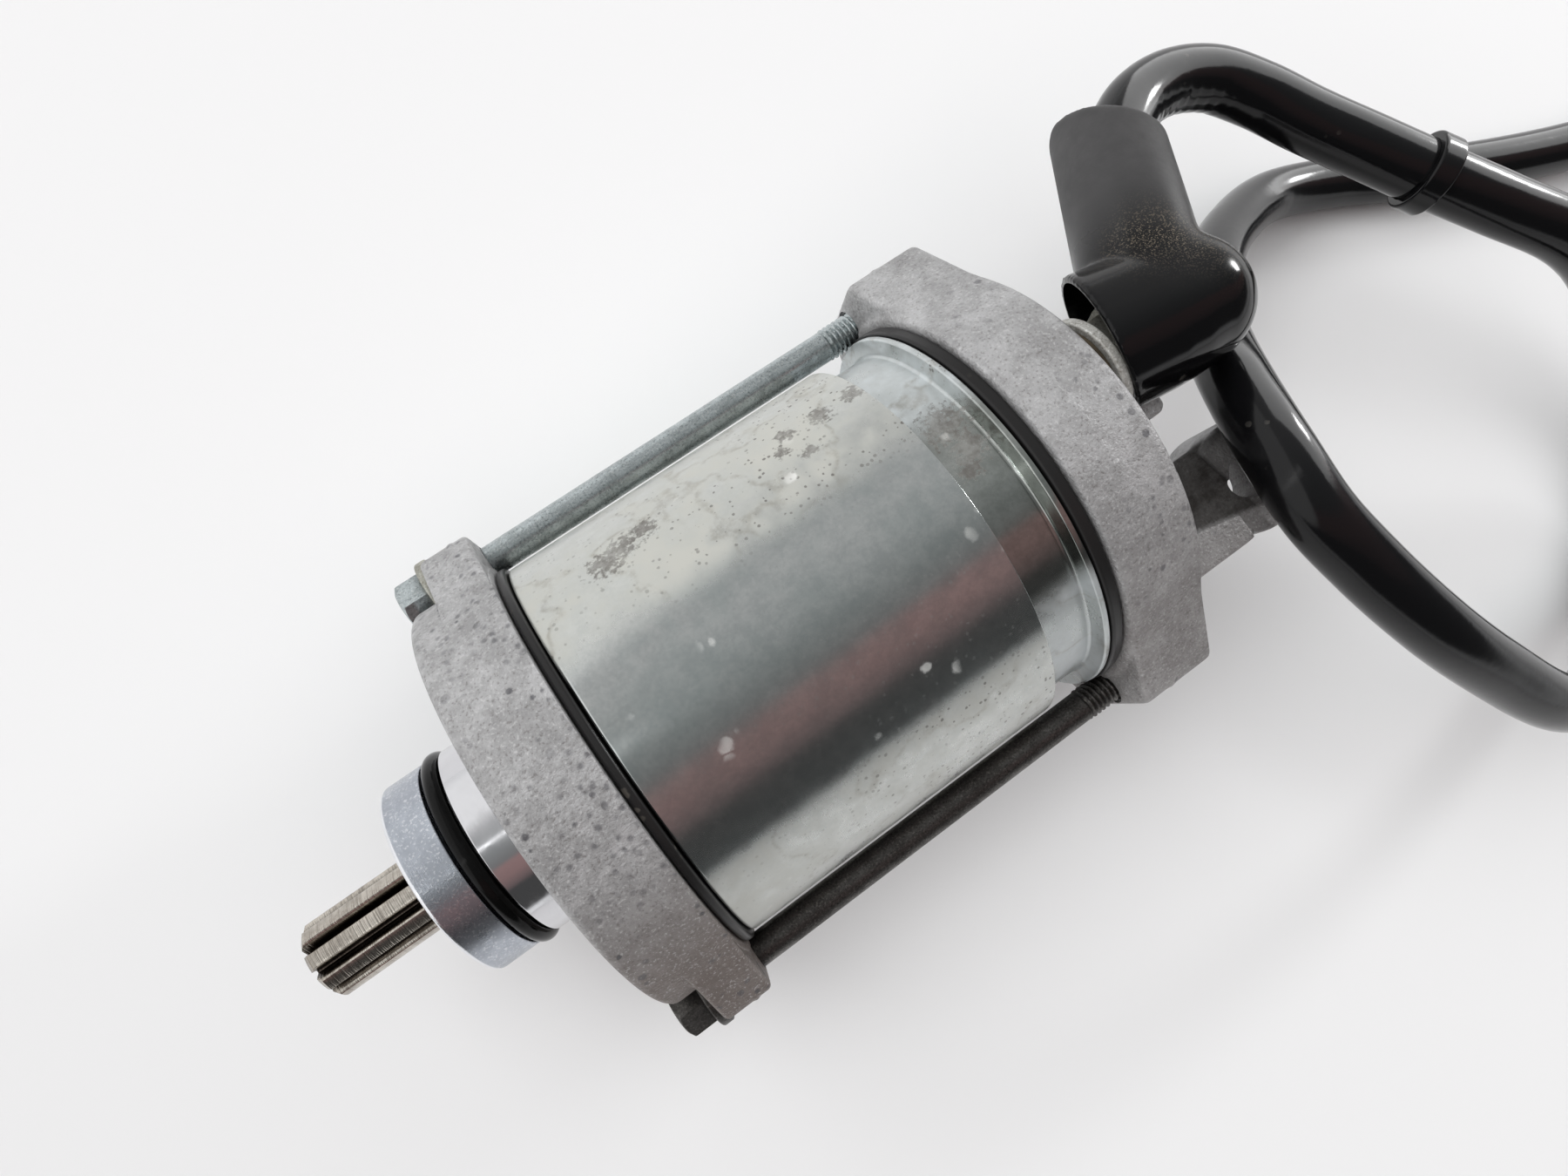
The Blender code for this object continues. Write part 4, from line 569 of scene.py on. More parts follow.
# Bolt steels: tint, pale pepper, dark pepper, share of the pale, roughness, and how metallic
boltLook = ((0.50, 0.55, 0.56, 1), (0.74, 0.76, 0.74, 1), (0.15, 0.17, 0.17, 1), 0.4, 0.16)
darkerBoltLook = ((0.11, 0.105, 0.10, 1), (0.36, 0.34, 0.31, 1), (0.035, 0.032, 0.03, 1), 0.25, 0.36)
washerLook = ((0.50, 0.50, 0.45, 1), (0.70, 0.70, 0.64, 1), (0.22, 0.20, 0.16, 1), 0.6, 0.40)
corrodedLook = ((0.60, 0.60, 0.57, 1), (0.84, 0.84, 0.81, 1), (0.20, 0.18, 0.15, 1), 0.7, 0.45, 0.35)
brownDust = (0.2, 0.18, 0.15, 1)
paleDust = (0.3, 0.28, 0.25, 1)
finishes = {
    "cast": makeCast("castAluminium", castLook),
    "castRear": makeCast("castAluminiumRear", rearLook),
    "sleeve": makeZinc("sleeveZinc", sleeveLook),
    "tube": makeZinc("tubeZinc", tubeLook),
    "noseMirror": makeTurned("noseTurned", seatLook),
    "noseSatin": makeTurned("noseSatin", landLook),
    "pinion": makePinion("pinionSteel", pinionLook),
    "bolt": makeBolt("boltZinc", *boltLook),
    "boltDarker": makeBolt("boltDarker", *darkerBoltLook),
    "washer": makeBolt("washerZinc", *washerLook),
    "corroded": makeBolt("washerCorroded", *corrodedLook),
    "rubber": makeBlack("sealRubber", (0.003, 0.003, 0.003, 1), 0.08, 0.0, brownDust, 0.15),
    "gasket": makeBlack("gasketRubber", (0.014, 0.0135, 0.0135, 1), 0.34, 0.3, brownDust),
    "boot": makeBootRubber("bootRubber", bootLook),
    "sheath": makeBlack("cableSheath", (0.004, 0.004, 0.0045, 1), 0.12, 0.0, paleDust),
    "fibre": makeInner("pressedFibre", (0.060, 0.046, 0.028, 1), 0.75, 0.0),
    "bearing": makeInner("bearingSteel", (0.66, 0.66, 0.67, 1), 0.18, 1.0),
    "core": makeInner("coreSteel", (0.24, 0.24, 0.25, 1), 0.45, 0.9),
    "copper": makeInner("bareCopper", (0.72, 0.36, 0.22, 1), 0.3, 1.0),
    "brass": makeInner("bearingBrass", (0.70, 0.54, 0.26, 1), 0.32, 1.0),
    "ferrite": makeInner("magnetFerrite", (0.07, 0.07, 0.08, 1), 0.6, 0.0),
    "carbon": makeInner("brushCarbon", (0.045, 0.045, 0.047, 1), 0.55, 0.2),
    "spring": makeInner("springWire", (0.55, 0.55, 0.56, 1), 0.28, 1.0),
}
print(len(finishes), "finishes made")

innerNodes = {
    "bearing": ("bearing_outer_ring", "bearing_inner_ring", "thrust_washer"),
    "brass": ("bearing_ball_cage", "rear_bush"),
    "core": ("armature_core",),
    "copper": ("armature_winding", "commutator"),
    "fibre": ("brush_plate", "terminal_bushing"),
    "bolt": ("plate_screw_1", "plate_screw_2", "terminal_stud"),
    "washer": ("cable_nut", "cable_lug"),
    "ferrite": [f"magnet_{number}" for number in range(1, 5)],
    "carbon": [f"brush_{number}" for number in range(1, 5)],
}


def dressInner():
    for finish, names in innerNodes.items():
        for node in names:
            materials = nodes[node].data.materials
            materials.clear()
            materials.append(finishes[finish])


dressInner()
print("inner pieces dressed")

# Cable
cable = {
    "route": (
        (104.3, 31.1, 12.9), (110.8, 34.6, 11.2), (118.4, 35.2, 9.9), (125.5, 32.6, 8.9),
        (131.2, 27.0, 8.0), (136.1, 19.4, 7.6), (141.3, 10.7, 8.0), (146.7, 2.0, 8.2),
        (154.3, -7.9, 7.4), (163.2, -18.3, 5.5), (177.0, -38.5, -8.5), (177.4, -59.5, -19.5),
        (164.0, -76.6, -24.2), (141.5, -84.4, -15.0), (117.7, -75.2, 0.0), (105.7, -61.0, 8.4),
        (96.9, -47.5, 15.0), (91.5, -34.8, 18.9), (89.2, -26.0, 20.6), (89.9, -16.6, 20.4),
        (94.4, -7.5, 15.6), (103.7, 1.1, 6.0), (117.6, 9.0, -5.0), (134.3, 14.6, -15.5),
        (151.9, 16.1, -23.2), (166.4, 11.8, -25.6), (179.6, 5.3, -25.6), (194.4, -1.3, -25.6),
        (211.0, -7.6, -25.6), (222.2, -11.4, -25.0), (232.2, -14.4, -24.8), (242.2, -17.4, -24.8),
    ),
    "bootAim": (0.56, 0.78, -0.28),
    "bootRoot": (85.4, 5.9, 21.8),
    "crimpEnd": 18.1,  # along the boot's sleeve
    "lead": 6.0,
    "radius": 4.6,
    "sides": 40,
    "rings": 560,
    "samples": 4000,
    "crease": {"bend": 0.030, "spread": 0.03, "depth": 0.16, "pitch": 2.6},  # inside of tight bends
}


def unit(vector):
    vector = np.asarray(vector, float)
    return vector / np.linalg.norm(vector)


# Hermite curve through the route, with slopes taken across neighbours, read at even steps
def cableLine():
    aim = unit(cable["bootAim"])
    start = np.array(cable["bootRoot"]) + aim * cable["crimpEnd"]
    stops = np.array([start + aim * cable["lead"], *cable["route"]])
    knots = np.concatenate([[0.0], np.cumsum(np.linalg.norm(np.diff(stops, axis=0), axis=1))])
    slopes = np.gradient(stops, knots, axis=0)
    slopes[0] = aim
    slopes[-2:] = (stops[-1] - stops[-2]) / (knots[-1] - knots[-2])
    fine = np.linspace(0.0, knots[-1], cable["samples"])
    span = np.clip(np.searchsorted(knots, fine, side="right") - 1, 0, len(knots) - 2)
    width = (knots[span + 1] - knots[span])[:, None]
    t = (fine - knots[span])[:, None] / width
    curve = (
        (2 * t**3 - 3 * t**2 + 1) * stops[span]
        + (t**3 - 2 * t**2 + t) * width * slopes[span]
        + (3 * t**2 - 2 * t**3) * stops[span + 1]
        + (t**3 - t**2) * width * slopes[span + 1]
    )
    curve = np.vstack([start, curve])
    travel = np.concatenate([[0.0], np.cumsum(np.linalg.norm(np.diff(curve, axis=0), axis=1))])
    even = np.linspace(0.0, travel[-1], cable["rings"])
    return np.stack([np.interp(even, travel, curve[:, axis]) for axis in range(3)], axis=1), travel[-1]


# Frames carried along a line: the side vector keeps its direction, less what runs along the line
def carriedFrames(line, up=(0.0, 0.0, 1.0)):
    along = np.gradient(line, axis=0)
    along /= np.linalg.norm(along, axis=1, keepdims=True)
    side = np.cross(np.array(up), along)
    side /= np.linalg.norm(side, axis=1, keepdims=True)
    return along, side, np.cross(along, side)


# A ring of the cable is a circle across its line, with small creases on the inside where it bends tightly
def makeCable():
    line, length = cableLine()
    along, side, over = carriedFrames(line)
    turn = np.linspace(0, math.tau, cable["sides"], endpoint=False)
    curl = np.gradient(along, axis=0) / (length / (cable["rings"] - 1))
    inward = np.einsum("rk,rk->r", curl, side)[:, None] * np.cos(turn)
    inward = inward + np.einsum("rk,rk->r", curl, over)[:, None] * np.sin(turn)
    travel = np.linspace(0.0, length, cable["rings"])[:, None]
    crease = cable["crease"]
    tight = np.clip(inward - crease["bend"], 0.0, crease["spread"]) / crease["spread"]
    ripple = -crease["depth"] * tight * (0.5 + 0.5 * np.cos(travel * math.tau / crease["pitch"]))
    radius = cable["radius"] + ripple
    points = line[:, None] + radius[..., None] * (
        side[:, None] * np.cos(turn)[:, None] + over[:, None] * np.sin(turn)[:, None]
    )
    mesh = loftMesh("starterCable", points)
    piece = addPiece("starterCable", mesh, "sheath", "motor", ["starter_cable"], 50.0)
    return piece, line, length


cablePiece, cablePath, cableLength = makeCable()
print("cable", round(cableLength, 1), "mm")


# Shapes joined into one skin, with the seams rounded as in a casting or a moulding
def joined(name, meshes):
    shape = bmesh.new()
    for mesh in meshes:
        shape.from_mesh(mesh)
        bpy.data.meshes.remove(mesh)
    whole = bpy.data.meshes.new(name)
    shape.to_mesh(whole)
    shape.free()
    return whole


def applied(mesh, settings):
    holder = bpy.data.objects.new(mesh.name, mesh)
    bpy.context.scene.collection.objects.link(holder)
    for kind, values in settings:
        modifier = holder.modifiers.new(kind, kind)
        for name, value in values.items():
            setattr(modifier, name, value)
    depsgraph = bpy.context.evaluated_depsgraph_get()
    result = bpy.data.meshes.new_from_object(holder.evaluated_get(depsgraph))
    bpy.data.objects.remove(holder)
    return result


def skinned(mesh, voxel, rounds):
    remesh = {"mode": "VOXEL", "voxel_size": voxel * mm, "use_smooth_shade": True}
    return applied(mesh, [("REMESH", remesh), ("SMOOTH", {"factor": 0.5, "iterations": rounds})])


def cutAway(mesh, cutters):
    tools = []
    for cutter in cutters:
        tool = bpy.data.objects.new("cutter", cutter)
        bpy.context.scene.collection.objects.link(tool)
        tools.append(tool)
    cuts = [("BOOLEAN", {"operation": "DIFFERENCE", "solver": "EXACT", "object": tool}) for tool in tools]
    result = applied(mesh, cuts)
    for tool in tools:
        bpy.data.objects.remove(tool)
    return result


def meshPoints(mesh):  # in millimetres from the front of the yoke
    points = np.empty(len(mesh.vertices) * 3)
    mesh.vertices.foreach_get("co", points)
    return (points.reshape(-1, 3) - motorOrigin) / mm


def paint(mesh, name, values):
    layer = mesh.attributes.new(name, "FLOAT", "POINT")
    layer.data.foreach_set("value", np.ascontiguousarray(values, np.float32))


# Each round moves a point towards the mean of its neighbours by its own share
def relaxed(mesh, share, rounds):
    points = meshPoints(mesh)
    edges = np.empty(len(mesh.edges) * 2, np.int32)
    mesh.edges.foreach_get("vertices", edges)
    first, second = edges.reshape(-1, 2).T
    degree = np.bincount(edges, minlength=len(points))[:, None]
    for _ in range(rounds):
        total = np.zeros_like(points)
        np.add.at(total, first, points[second])
        np.add.at(total, second, points[first])
        points += share[:, None] * (total / degree - points)
    mesh.vertices.foreach_set("co", toWorld(points).ravel())
    mesh.update()


# A grid worked out along X is turned so that X follows a direction, from a starting place
def aimedMesh(name, grid, direction, start, closed=False):
    forward = unit(direction)
    side = unit(np.cross((0.0, 0.0, 1.0), forward))
    basis = np.stack([forward, side, np.cross(forward, side)])
    return meshFrom(name, grid @ basis + np.array(start), closed)


# Brackets
ears = {
    "barrel": 29.6,
    "above": 7.0,
    "corner": 3.0,
    "edge": 0.7,
    "blend": 0.9,
    "ridge": 0.16,
    "ridgeHalf": 0.7,
    "bolt": 32.25,
    "sides": 480,
    "leanings": 1440,
    "grazing": 0.3,  # cosine below which a tangent line is left out
}
around = np.linspace(0, math.tau, ears["sides"], endpoint=False)


# Reach of the ear outline: the least distance to a tangent line over the cosine of the angle to it
def earReach(across, inset):
    lean = np.linspace(0, math.tau, ears["leanings"], endpoint=False)
    corners = np.array([(a * across, b * ears["above"]) for a in (-1, 1) for b in (-1, 1)])
    outward = corners @ np.stack([np.cos(lean), np.sin(lean)])
    support = np.maximum(ears["barrel"], outward.max(axis=0) + ears["corner"]) - inset
    spread = np.cos(around[:, None] - lean)
    grazing = ears["grazing"]
    return np.where(spread > grazing, support / np.maximum(spread, grazing), 1e3).min(axis=1)


# The greater of two radii, rounded over where they are close
def softMax(first, second, reach):
    near = np.clip(reach - np.abs(first - second), 0, None) / reach
    return np.maximum(first, second) + near**2 * reach / 4


# Rows of an ear: a fillet up from the barrel, a rounded edge, a side with a parting ridge, and back down
def earRows(spec, barrelAt):
    edge, blend, half = ears["edge"], ears["blend"], ears["ridgeHalf"]
    across = spec["across"]
    start, end = spec["ears"]
    low = earReach(across, edge)
    quarter = np.linspace(0, math.pi / 2, 7)

    def filletRow(face, outward, size, t):
        x = face + outward * size * (1 - math.sin(t))
        base = barrelAt(x)
        return x, base + np.minimum(size * (1 - math.cos(t)), np.clip(low - base, 0, None))

    def edgeRow(face, outward, t):
        x = face - outward * edge * (1 - math.cos(t))
        return x, softMax(barrelAt(x), earReach(across, edge * (1 - math.sin(t))), blend)

    rows = [filletRow(start, -1, spec["fillets"][0], t) for t in quarter]
    rows += [edgeRow(start, -1, t) for t in quarter]
    for step in np.linspace(-half, half, 9):
        x = spec["ridge"] + step
        swell = ears["ridge"] * math.cos(step / half * math.pi / 2) ** 2
        rows.append((x, softMax(barrelAt(x) + swell, earReach(across, -swell), blend)))
    rows += [edgeRow(end, 1, t) for t in quarter[::-1]]
    rows += [filletRow(end, 1, spec["fillets"][1], t) for t in quarter[::-1]]
    return rows


def boltCutter(profile, side):
    return turnedMesh("cutter", profile, 48, (0.0, side * ears["bolt"], 0.0))


frontBracket = {
    "joint": -1.6,
    "brokenEdge": ((0.0, 0.25), (0.07, 0.07)),  # forward from the joint, in from the barrel
    "face": -13.3,
    "faceEdge": 3.0,
    "faceRings": (20.0, 14.0),
    "barrel": 30.6,
    "shoulder": 1.2,
    "ears": (-8.8, -1.8),
    "fillets": (0.8, 0.15),
    "ridge": -4.2,
    "across": 32.2,  # to the middle of an ear's corner
    "inner": (
        (-13.3, 7.4), (-10.8, 7.4), (-10.8, 14.2), (-2.4, 14.2),
        (-2.4, 21.4), (0.8, 21.4), (0.8, 23.7), (-1.6, 23.7),
    ),
    "boltHole": ((-16.0, 0.0), (-16.0, 5.3), (-8.7, 5.3), (-8.7, 2.65), (0.0, 2.65), (0.0, 0.0)),
}


def makeFrontBracket():
    spec = frontBracket
    barrel, face, shoulder = spec["barrel"], spec["face"], spec["shoulder"]
    bend = np.linspace(math.pi / 2, 0, 12)
    centre = (face + shoulder, barrel - shoulder)
    rows = [(spec["joint"] - forward, barrel - inward) for forward, inward in spec["brokenEdge"]]
    rows += earRows(spec, lambda x: barrel)[::-1]
    rows += [(centre[0] - shoulder * math.cos(t), centre[1] + shoulder * math.sin(t)) for t in bend]
    rows += [(face, radius) for radius in (barrel - shoulder - spec["faceEdge"], *spec["faceRings"])]
    rows += list(spec["inner"])
    mesh = polarMesh("frontBracket", rows, around, True)
    mesh = cutAway(mesh, [boltCutter(spec["boltHole"], side) for side in (-1, 1)])
    addPiece("frontBracket", mesh, "cast", "motor", ["front_bracket"], 32.0)


makeFrontBracket()
print("front bracket made")

rearBracket = {
    "joint": 59.9,
    "brokenEdge": ((0.0, 0.2), (0.06, 0.0)),  # on from the joint, in from the barrel
    "face": 72.4,
    "faceEdge": 0.6,
    "faceRings": (15.0, 0.0),
    "barrel": 30.6,
    "corner": 1.3,
    "ears": (60.4, 72.3),
    "fillets": (0.4, 0.25),
    "ridge": 65.2,
    "across": 32.7,
    "inner": (
        (68.9, 0.0), (68.9, 6.0), (61.9, 6.0), (61.9, 8.6), (68.0, 8.6), (68.0, 16.0), (61.9, 16.0),
        (61.9, 21.4), (57.0, 21.4), (57.0, 23.7), (59.9, 23.7),
    ),
    "terminal": (5.9, 20.3),
    "pad": {"root": 1.5, "radius": 7.1, "end": 73.0},
    "rib": {"across": -2.4, "half": 1.5, "above": (8.4, 14.4), "end": 83.7},
    "lug": {"start": 69.9, "arm": (-24.8, -10.8), "above": (1.6, 10.1), "hole": (91.4, -18.1), "bore": 3.4},
    "boss": {"radius": 8.3, "edge": 0.8, "above": (1.0, 10.0)},
    "lugPad": {"radius": 8.0, "above": (8.5, 11.5), "chord": 2.9, "facing": 194.4},
    "flank": (  # a rib beside the arm, from the barrel to the boss
        ((70.5, -27.4, 2.2), (70.5, -25.4, 10.9), (70.5, -18.3, 10.9), (70.5, -18.3, 2.2)),
        ((86.5, -26.6, 2.2), (86.5, -25.6, 10.9), (86.5, -21.8, 10.9), (86.5, -21.8, 2.2)),
    ),
    "lugHole": (-4.0, 16.0),
    "boltHole": ((58.0, 0.0), (58.0, 2.9), (61.0, 2.9), (61.0, 2.65), (74.0, 2.65), (74.0, 0.0)),
    "studHole": ((50.0, 0.0), (50.0, 6.2), (68.4, 6.2), (68.4, 4.9), (76.0, 4.9), (76.0, 0.0)),
    # where the painted shade with soil lies on the lug's arm
    "grimeAndShade": {"start": 71.9, "side": -10.2, "fade": 0.6, "foot": (79.6, -20.2, -0.234), "overlap": 0.2,
              "floor": 8.0, "depth": 1.0, "padTop": 10.9, "padShare": 0.8},
    "voxel": 0.38,
    "rounds": 3,
}


# A flat outline between two heights
def prismMesh(name, outline, low, high):
    outline = np.asarray(outline)
    return loftMesh(name, [np.column_stack([outline, np.full(len(outline), z)]) for z in (low, high)])


# A profile of (height, radius) turned about an upright line
def uprightMesh(name, profile, centre, segments=96):
    return meshFrom(name, turnedPoints(profile, segments)[..., [1, 2, 0]] + np.array([*centre, 0.0]))


# Painted shade with soil on the floor of the lug's arm, where the cable and the boot shade it, up to the foot
# of the rib beside it, and thinner on the pad
def lugGrimeAndShade(points):
    grimeAndShade = rearBracket["grimeAndShade"]
    x, y, z = points.T
    fade = grimeAndShade["fade"]
    inArm = np.clip((x - grimeAndShade["start"]) / fade, 0, 1) * np.clip((grimeAndShade["side"] - y) / fade, 0, 1)
    footStart, footAcross, footSlope = grimeAndShade["foot"]
    foot = footAcross + footSlope * (x - footStart)
    inside = np.clip((y - foot + grimeAndShade["overlap"]) / fade, 0, 1)
    floor = inArm * inside * np.clip((z - grimeAndShade["floor"]) / grimeAndShade["depth"], 0, 1)
    return floor * np.where(z > grimeAndShade["padTop"], grimeAndShade["padShare"], 1.0)


def makeRearBracket():
    spec = rearBracket
    barrel, face, corner, centre = spec["barrel"], spec["face"], spec["corner"], (0.0, *spec["terminal"])
    knee = face - corner

    def barrelAt(x):
        beyond = min(max(x - knee, 0.0), corner)
        return barrel - corner + math.sqrt(corner**2 - beyond**2)

    rows = list(spec["inner"]) + [(spec["joint"] + on, barrel - inward) for on, inward in spec["brokenEdge"]]
    rows += earRows(spec, barrelAt)
    rows += [(face, radius) for radius in (barrel - corner - spec["faceEdge"], *spec["faceRings"])]
    parts = [polarMesh("barrel", rows, around)]

    pad = spec["pad"]
    profile = rodProfile(face - pad["root"], pad["end"], pad["radius"])
    parts.append(turnedMesh("pad", profile, 64, centre, False))

    lug, rib = spec["lug"], spec["rib"]
    start, hole = lug["start"], lug["hole"]
    across, half = rib["across"], rib["half"]
    bend = np.linspace(-math.pi / 2, math.pi / 2, 15)
    tip = np.column_stack([rib["end"] + half * np.cos(bend), across + half * np.sin(bend)])
    outline = np.vstack([(start, across - half), tip, (start, across + half)])
    parts.append(prismMesh("stopRib", outline, *rib["above"]))

    near, far = lug["arm"]
    outline = [(start, near), (hole[0], near), (hole[0], far), (start, far)]
    parts.append(prismMesh("arm", outline, *lug["above"]))
    boss = spec["boss"]
    radius, edge = boss["radius"], boss["edge"]
    low, high = boss["above"]
    profile = [(low, 0.0), (low, radius - edge), (low + edge, radius), (high, radius), (high, 0.0)]
    parts.append(uprightMesh("boss", profile, hole))
    pad = spec["lugPad"]  # a disc cut off straight on the side that it faces
    radius, facing = pad["radius"], math.radians(pad["facing"])
    spread = math.acos(pad["chord"] / radius)
    bend = np.linspace(facing + spread, facing - spread + math.tau, 60)
    outline = np.column_stack([hole[0] + radius * np.cos(bend), hole[1] + radius * np.sin(bend)])
    parts.append(prismMesh("lugPad", outline, *pad["above"]))
    parts.append(loftMesh("rib", spec["flank"]))

    mesh = skinned(joined("rearBracket", parts), spec["voxel"], spec["rounds"])
    cutters = [uprightMesh("cutter", rodProfile(*spec["lugHole"], lug["bore"]), hole, 64)]
    cutters.append(turnedMesh("cutter", spec["studHole"], 48, centre, False))
    mesh = cutAway(mesh, cutters + [boltCutter(spec["boltHole"], side) for side in (-1, 1)])
    # the painted shade with soil on the lug's arm, kept on the points
    paint(mesh, "grimeAndShade", lugGrimeAndShade(meshPoints(mesh)))
    addPiece("rearBracket", mesh, "castRear", "motor", ["rear_bracket"], 40.0)


makeRearBracket()
print("rear bracket made")

# Nose: a satin land in front of the O-ring, and a mirror-turned seat behind it
nose = {
    "radius": 14.1, "front": -29.4, "groove": (-23.6, -20.8), "floor": 12.1, "seat": 10.2, "bore": 7.3,
    "chamfer": 0.6, "lip": 0.2, "edge": 0.4, "split": -22.3, "relief": (-13.4, -13.0, 0.35), "rear": -12.3,
    "segments": 256,
}


def makeNose():
    radius, front, split, rear = nose["radius"], nose["front"], nose["split"], nose["rear"]
    floor, lip, edge = nose["floor"], nose["lip"], nose["edge"]
    grooveFront, grooveRear = nose["groove"]
    reliefStart, reliefEnd, depth = nose["relief"]
    land = rounded([
        (front, radius, nose["chamfer"]), (grooveFront, radius, lip), (grooveFront, floor),
        (split, floor), (split, nose["seat"]), (front, nose["seat"], edge),
    ])
    mesh = turnedMesh("noseLand", land, nose["segments"])
    addPiece("noseLand", mesh, "noseSatin", "motor")
    seat = rounded([
        (split, floor), (grooveRear, floor), (grooveRear, radius, lip), (reliefStart, radius, edge),
        (reliefEnd, radius - depth, lip), (rear, radius - depth), (rear, nose["bore"]), (split, nose["bore"]),
    ])
    mesh = turnedMesh("noseSeat", seat, nose["segments"])
    addPiece("noseSeat", mesh, "noseMirror", "motor")


makeNose()

# Rings of round or shaped section: the O-ring, the oil seal and the gaskets
seals = {
    "ring": {"along": -22.2, "radius": 13.5, "section": 1.2, "steps": 32},
    "seal": (-27.6, -22.6, 10.0, 6.2),  # start, end, outer radius, lip radius
    "gaskets": (("frontGasket", "front_gasket", -1.4, -0.2), ("rearGasket", "rear_gasket", 58.0, 59.75)),
    "gasketRadii": (23.9, 29.7, 0.4),
    "segments": 256,
}


def makeSeals():
    ring = seals["ring"]
    turn = np.linspace(0, math.tau, ring["steps"], endpoint=False)
    along = ring["along"] + ring["section"] * np.cos(turn)
    profile = np.column_stack([along, ring["radius"] + ring["section"] * np.sin(turn)])
    mesh = turnedMesh("noseRing", profile, seals["segments"])
    addPiece("noseRing", mesh, "rubber", "motor", ["nose_o_ring"], 60.0)
    start, end, outer, lip = seals["seal"]
    profile = rounded([
        (start, outer, 0.4), (end, outer, 0.2), (end, outer - 1.0), (start + 1.3, outer - 1.0, 0.4),
        (start + 1.3, lip + 1.4, 0.4), (end - 1.0, lip + 1.2, 0.3), (end - 1.2, lip, 0.2),
        (start - 0.1, lip, 0.25), (start + 0.7, lip + 1.0, 0.4), (start + 0.7, outer - 1.2, 0.4),
        (start, outer - 0.9, 0.3),
    ])
    addPiece("oilSeal", turnedMesh("oilSeal", profile), "gasket", "motor", ["oil_seal"])
    inner, outer, edge = seals["gasketRadii"]
    for name, node, start, end in seals["gaskets"]:
        profile = rounded([(start, inner), (start, outer, edge), (end, outer, edge), (end, inner)])
        addPiece(name, turnedMesh(name, profile, seals["segments"]), "gasket", "motor", [node])


makeSeals()
print("nose and seals made")

# Yoke: the flux sleeve over the magnet tube with its flared lip
yoke = {
    "sleeve": (0.0, 49.0, 27.2, 29.0), "sleeveEdges": (0.45, 0.12, 0.2), "sleeveRows": (1.0, 40),
    "tube": (0.0, 57.8, 24.0, 27.0), "lip": (56.5, 56.9, 29.4), "tubeEdges": (0.3, 0.5), "tubeSupport": 0.02,
    "segments": 320,
}


def makeYoke():
    start, end, inner, outer = yoke["sleeve"]
    frontEdge, rearEdge, innerEdge = yoke["sleeveEdges"]
    profile = rounded([
        (start, inner), (start, outer, frontEdge), (end, outer, rearEdge), (end, inner, innerEdge),
    ])
    margin, count = yoke["sleeveRows"]
    fill = np.linspace(start + margin, end - margin, count)
    top = int(np.argmax(profile[:, 0] > (start + end) / 2))
    profile = np.vstack([profile[:top], np.column_stack([fill, np.full(len(fill), outer)]), profile[top:]])
    mesh = turnedMesh("fluxSleeve", profile, yoke["segments"])
    addPiece("fluxSleeve", mesh, "sleeve", "motor", ["flux_sleeve"])
    start, end, inner, outer = yoke["tube"]
    rampStart, rampEnd, lip = yoke["lip"]
    edge, foot = yoke["tubeEdges"]
    profile = rounded([
        (start, inner, edge), (start, outer, edge), (rampStart, outer, foot), (rampEnd, lip, edge),
        (end, lip, edge), (end, inner, edge),
    ], support=yoke["tubeSupport"])
    mesh = turnedMesh("yokeTube", profile, yoke["segments"])
    addPiece("yokeTube", mesh, "tube", "motor", ["yoke_tube"])


makeYoke()
print("yoke made")

# Through bolts
bolts = {
    "head": (-14.5, -10.5), "flats": 7.2, "crownRings": (0.9, 0.4), "crownCone": (0.25, 1.5, 0.6, 0.05),
    "crownEnd": 0.75, "underEdge": (0.2, 0.15), "neck": 0.6, "shank": 2.25, "threadStart": 55.2, "end": 71.0,
    "tip": 1.7, "pitch": 0.8, "crest": 2.42, "root": 2.02, "hidden": 60.0,
    "washer": (-10.4, -8.8, 5.15, 2.65), "washerEdges": (0.35, 0.2), "sides": 96,
}


def hexReach(turn, flats):
    return flats / 2 / np.cos((turn + math.pi / 6) % (math.pi / 3) - math.pi / 6)


# Head: the smaller of a six-sided reach and a cone at its end. Thread: a triangle wave wound along the bolt
def boltMesh(name, side):
    turn = np.linspace(0, math.tau, bolts["sides"], endpoint=False)
    start, end = bolts["head"]
    shank, threadStart, tip = bolts["shank"], bolts["threadStart"], bolts["end"]
    pitch, root, crest = bolts["pitch"], bolts["root"], bolts["crest"]
    flats = hexReach(turn, bolts["flats"])
    half = bolts["flats"] / 2
    inset, slope, depth, gap = bolts["crownCone"]
    rows = [(start, 0.0)] + [(start, half - inward) for inward in bolts["crownRings"]]
    for x in np.linspace(start, start + depth, 8):
        rows.append((x, np.minimum(flats - gap, half - inset + (x - start) * slope)))
    forward, inward = bolts["underEdge"]
    rows += [(start + bolts["crownEnd"], flats), (end - forward, flats), (end, flats - inward)]
    rows += [(end, shank), (end + bolts["neck"], shank)]
    rows += [(x, shank) for x in np.linspace(0.0, threadStart - 1.0, 12)]
    for x in np.arange(threadStart, tip, pitch / 9):
        wave = np.abs((x / pitch - turn / math.tau) % 1.0 - 0.5) * 2
        thread = root + (crest - root) * np.clip(wave * 1.25, 0, 1)
        grown = min((x - threadStart) / 0.8, 1.0) * min((tip - x) / 0.6 + 0.4, 1.0)
        if x < bolts["hidden"]:
            rows.append((x, shank * (1 - grown) + thread * grown))
        else:
            rows.append((x, thread * min(1.0, grown + 0.2)))
    rows += [(tip, bolts["tip"]), (tip, 0.0)]
    return polarMesh(name, rows, turn, centre=(0.0, side * ears["bolt"], 0.0))


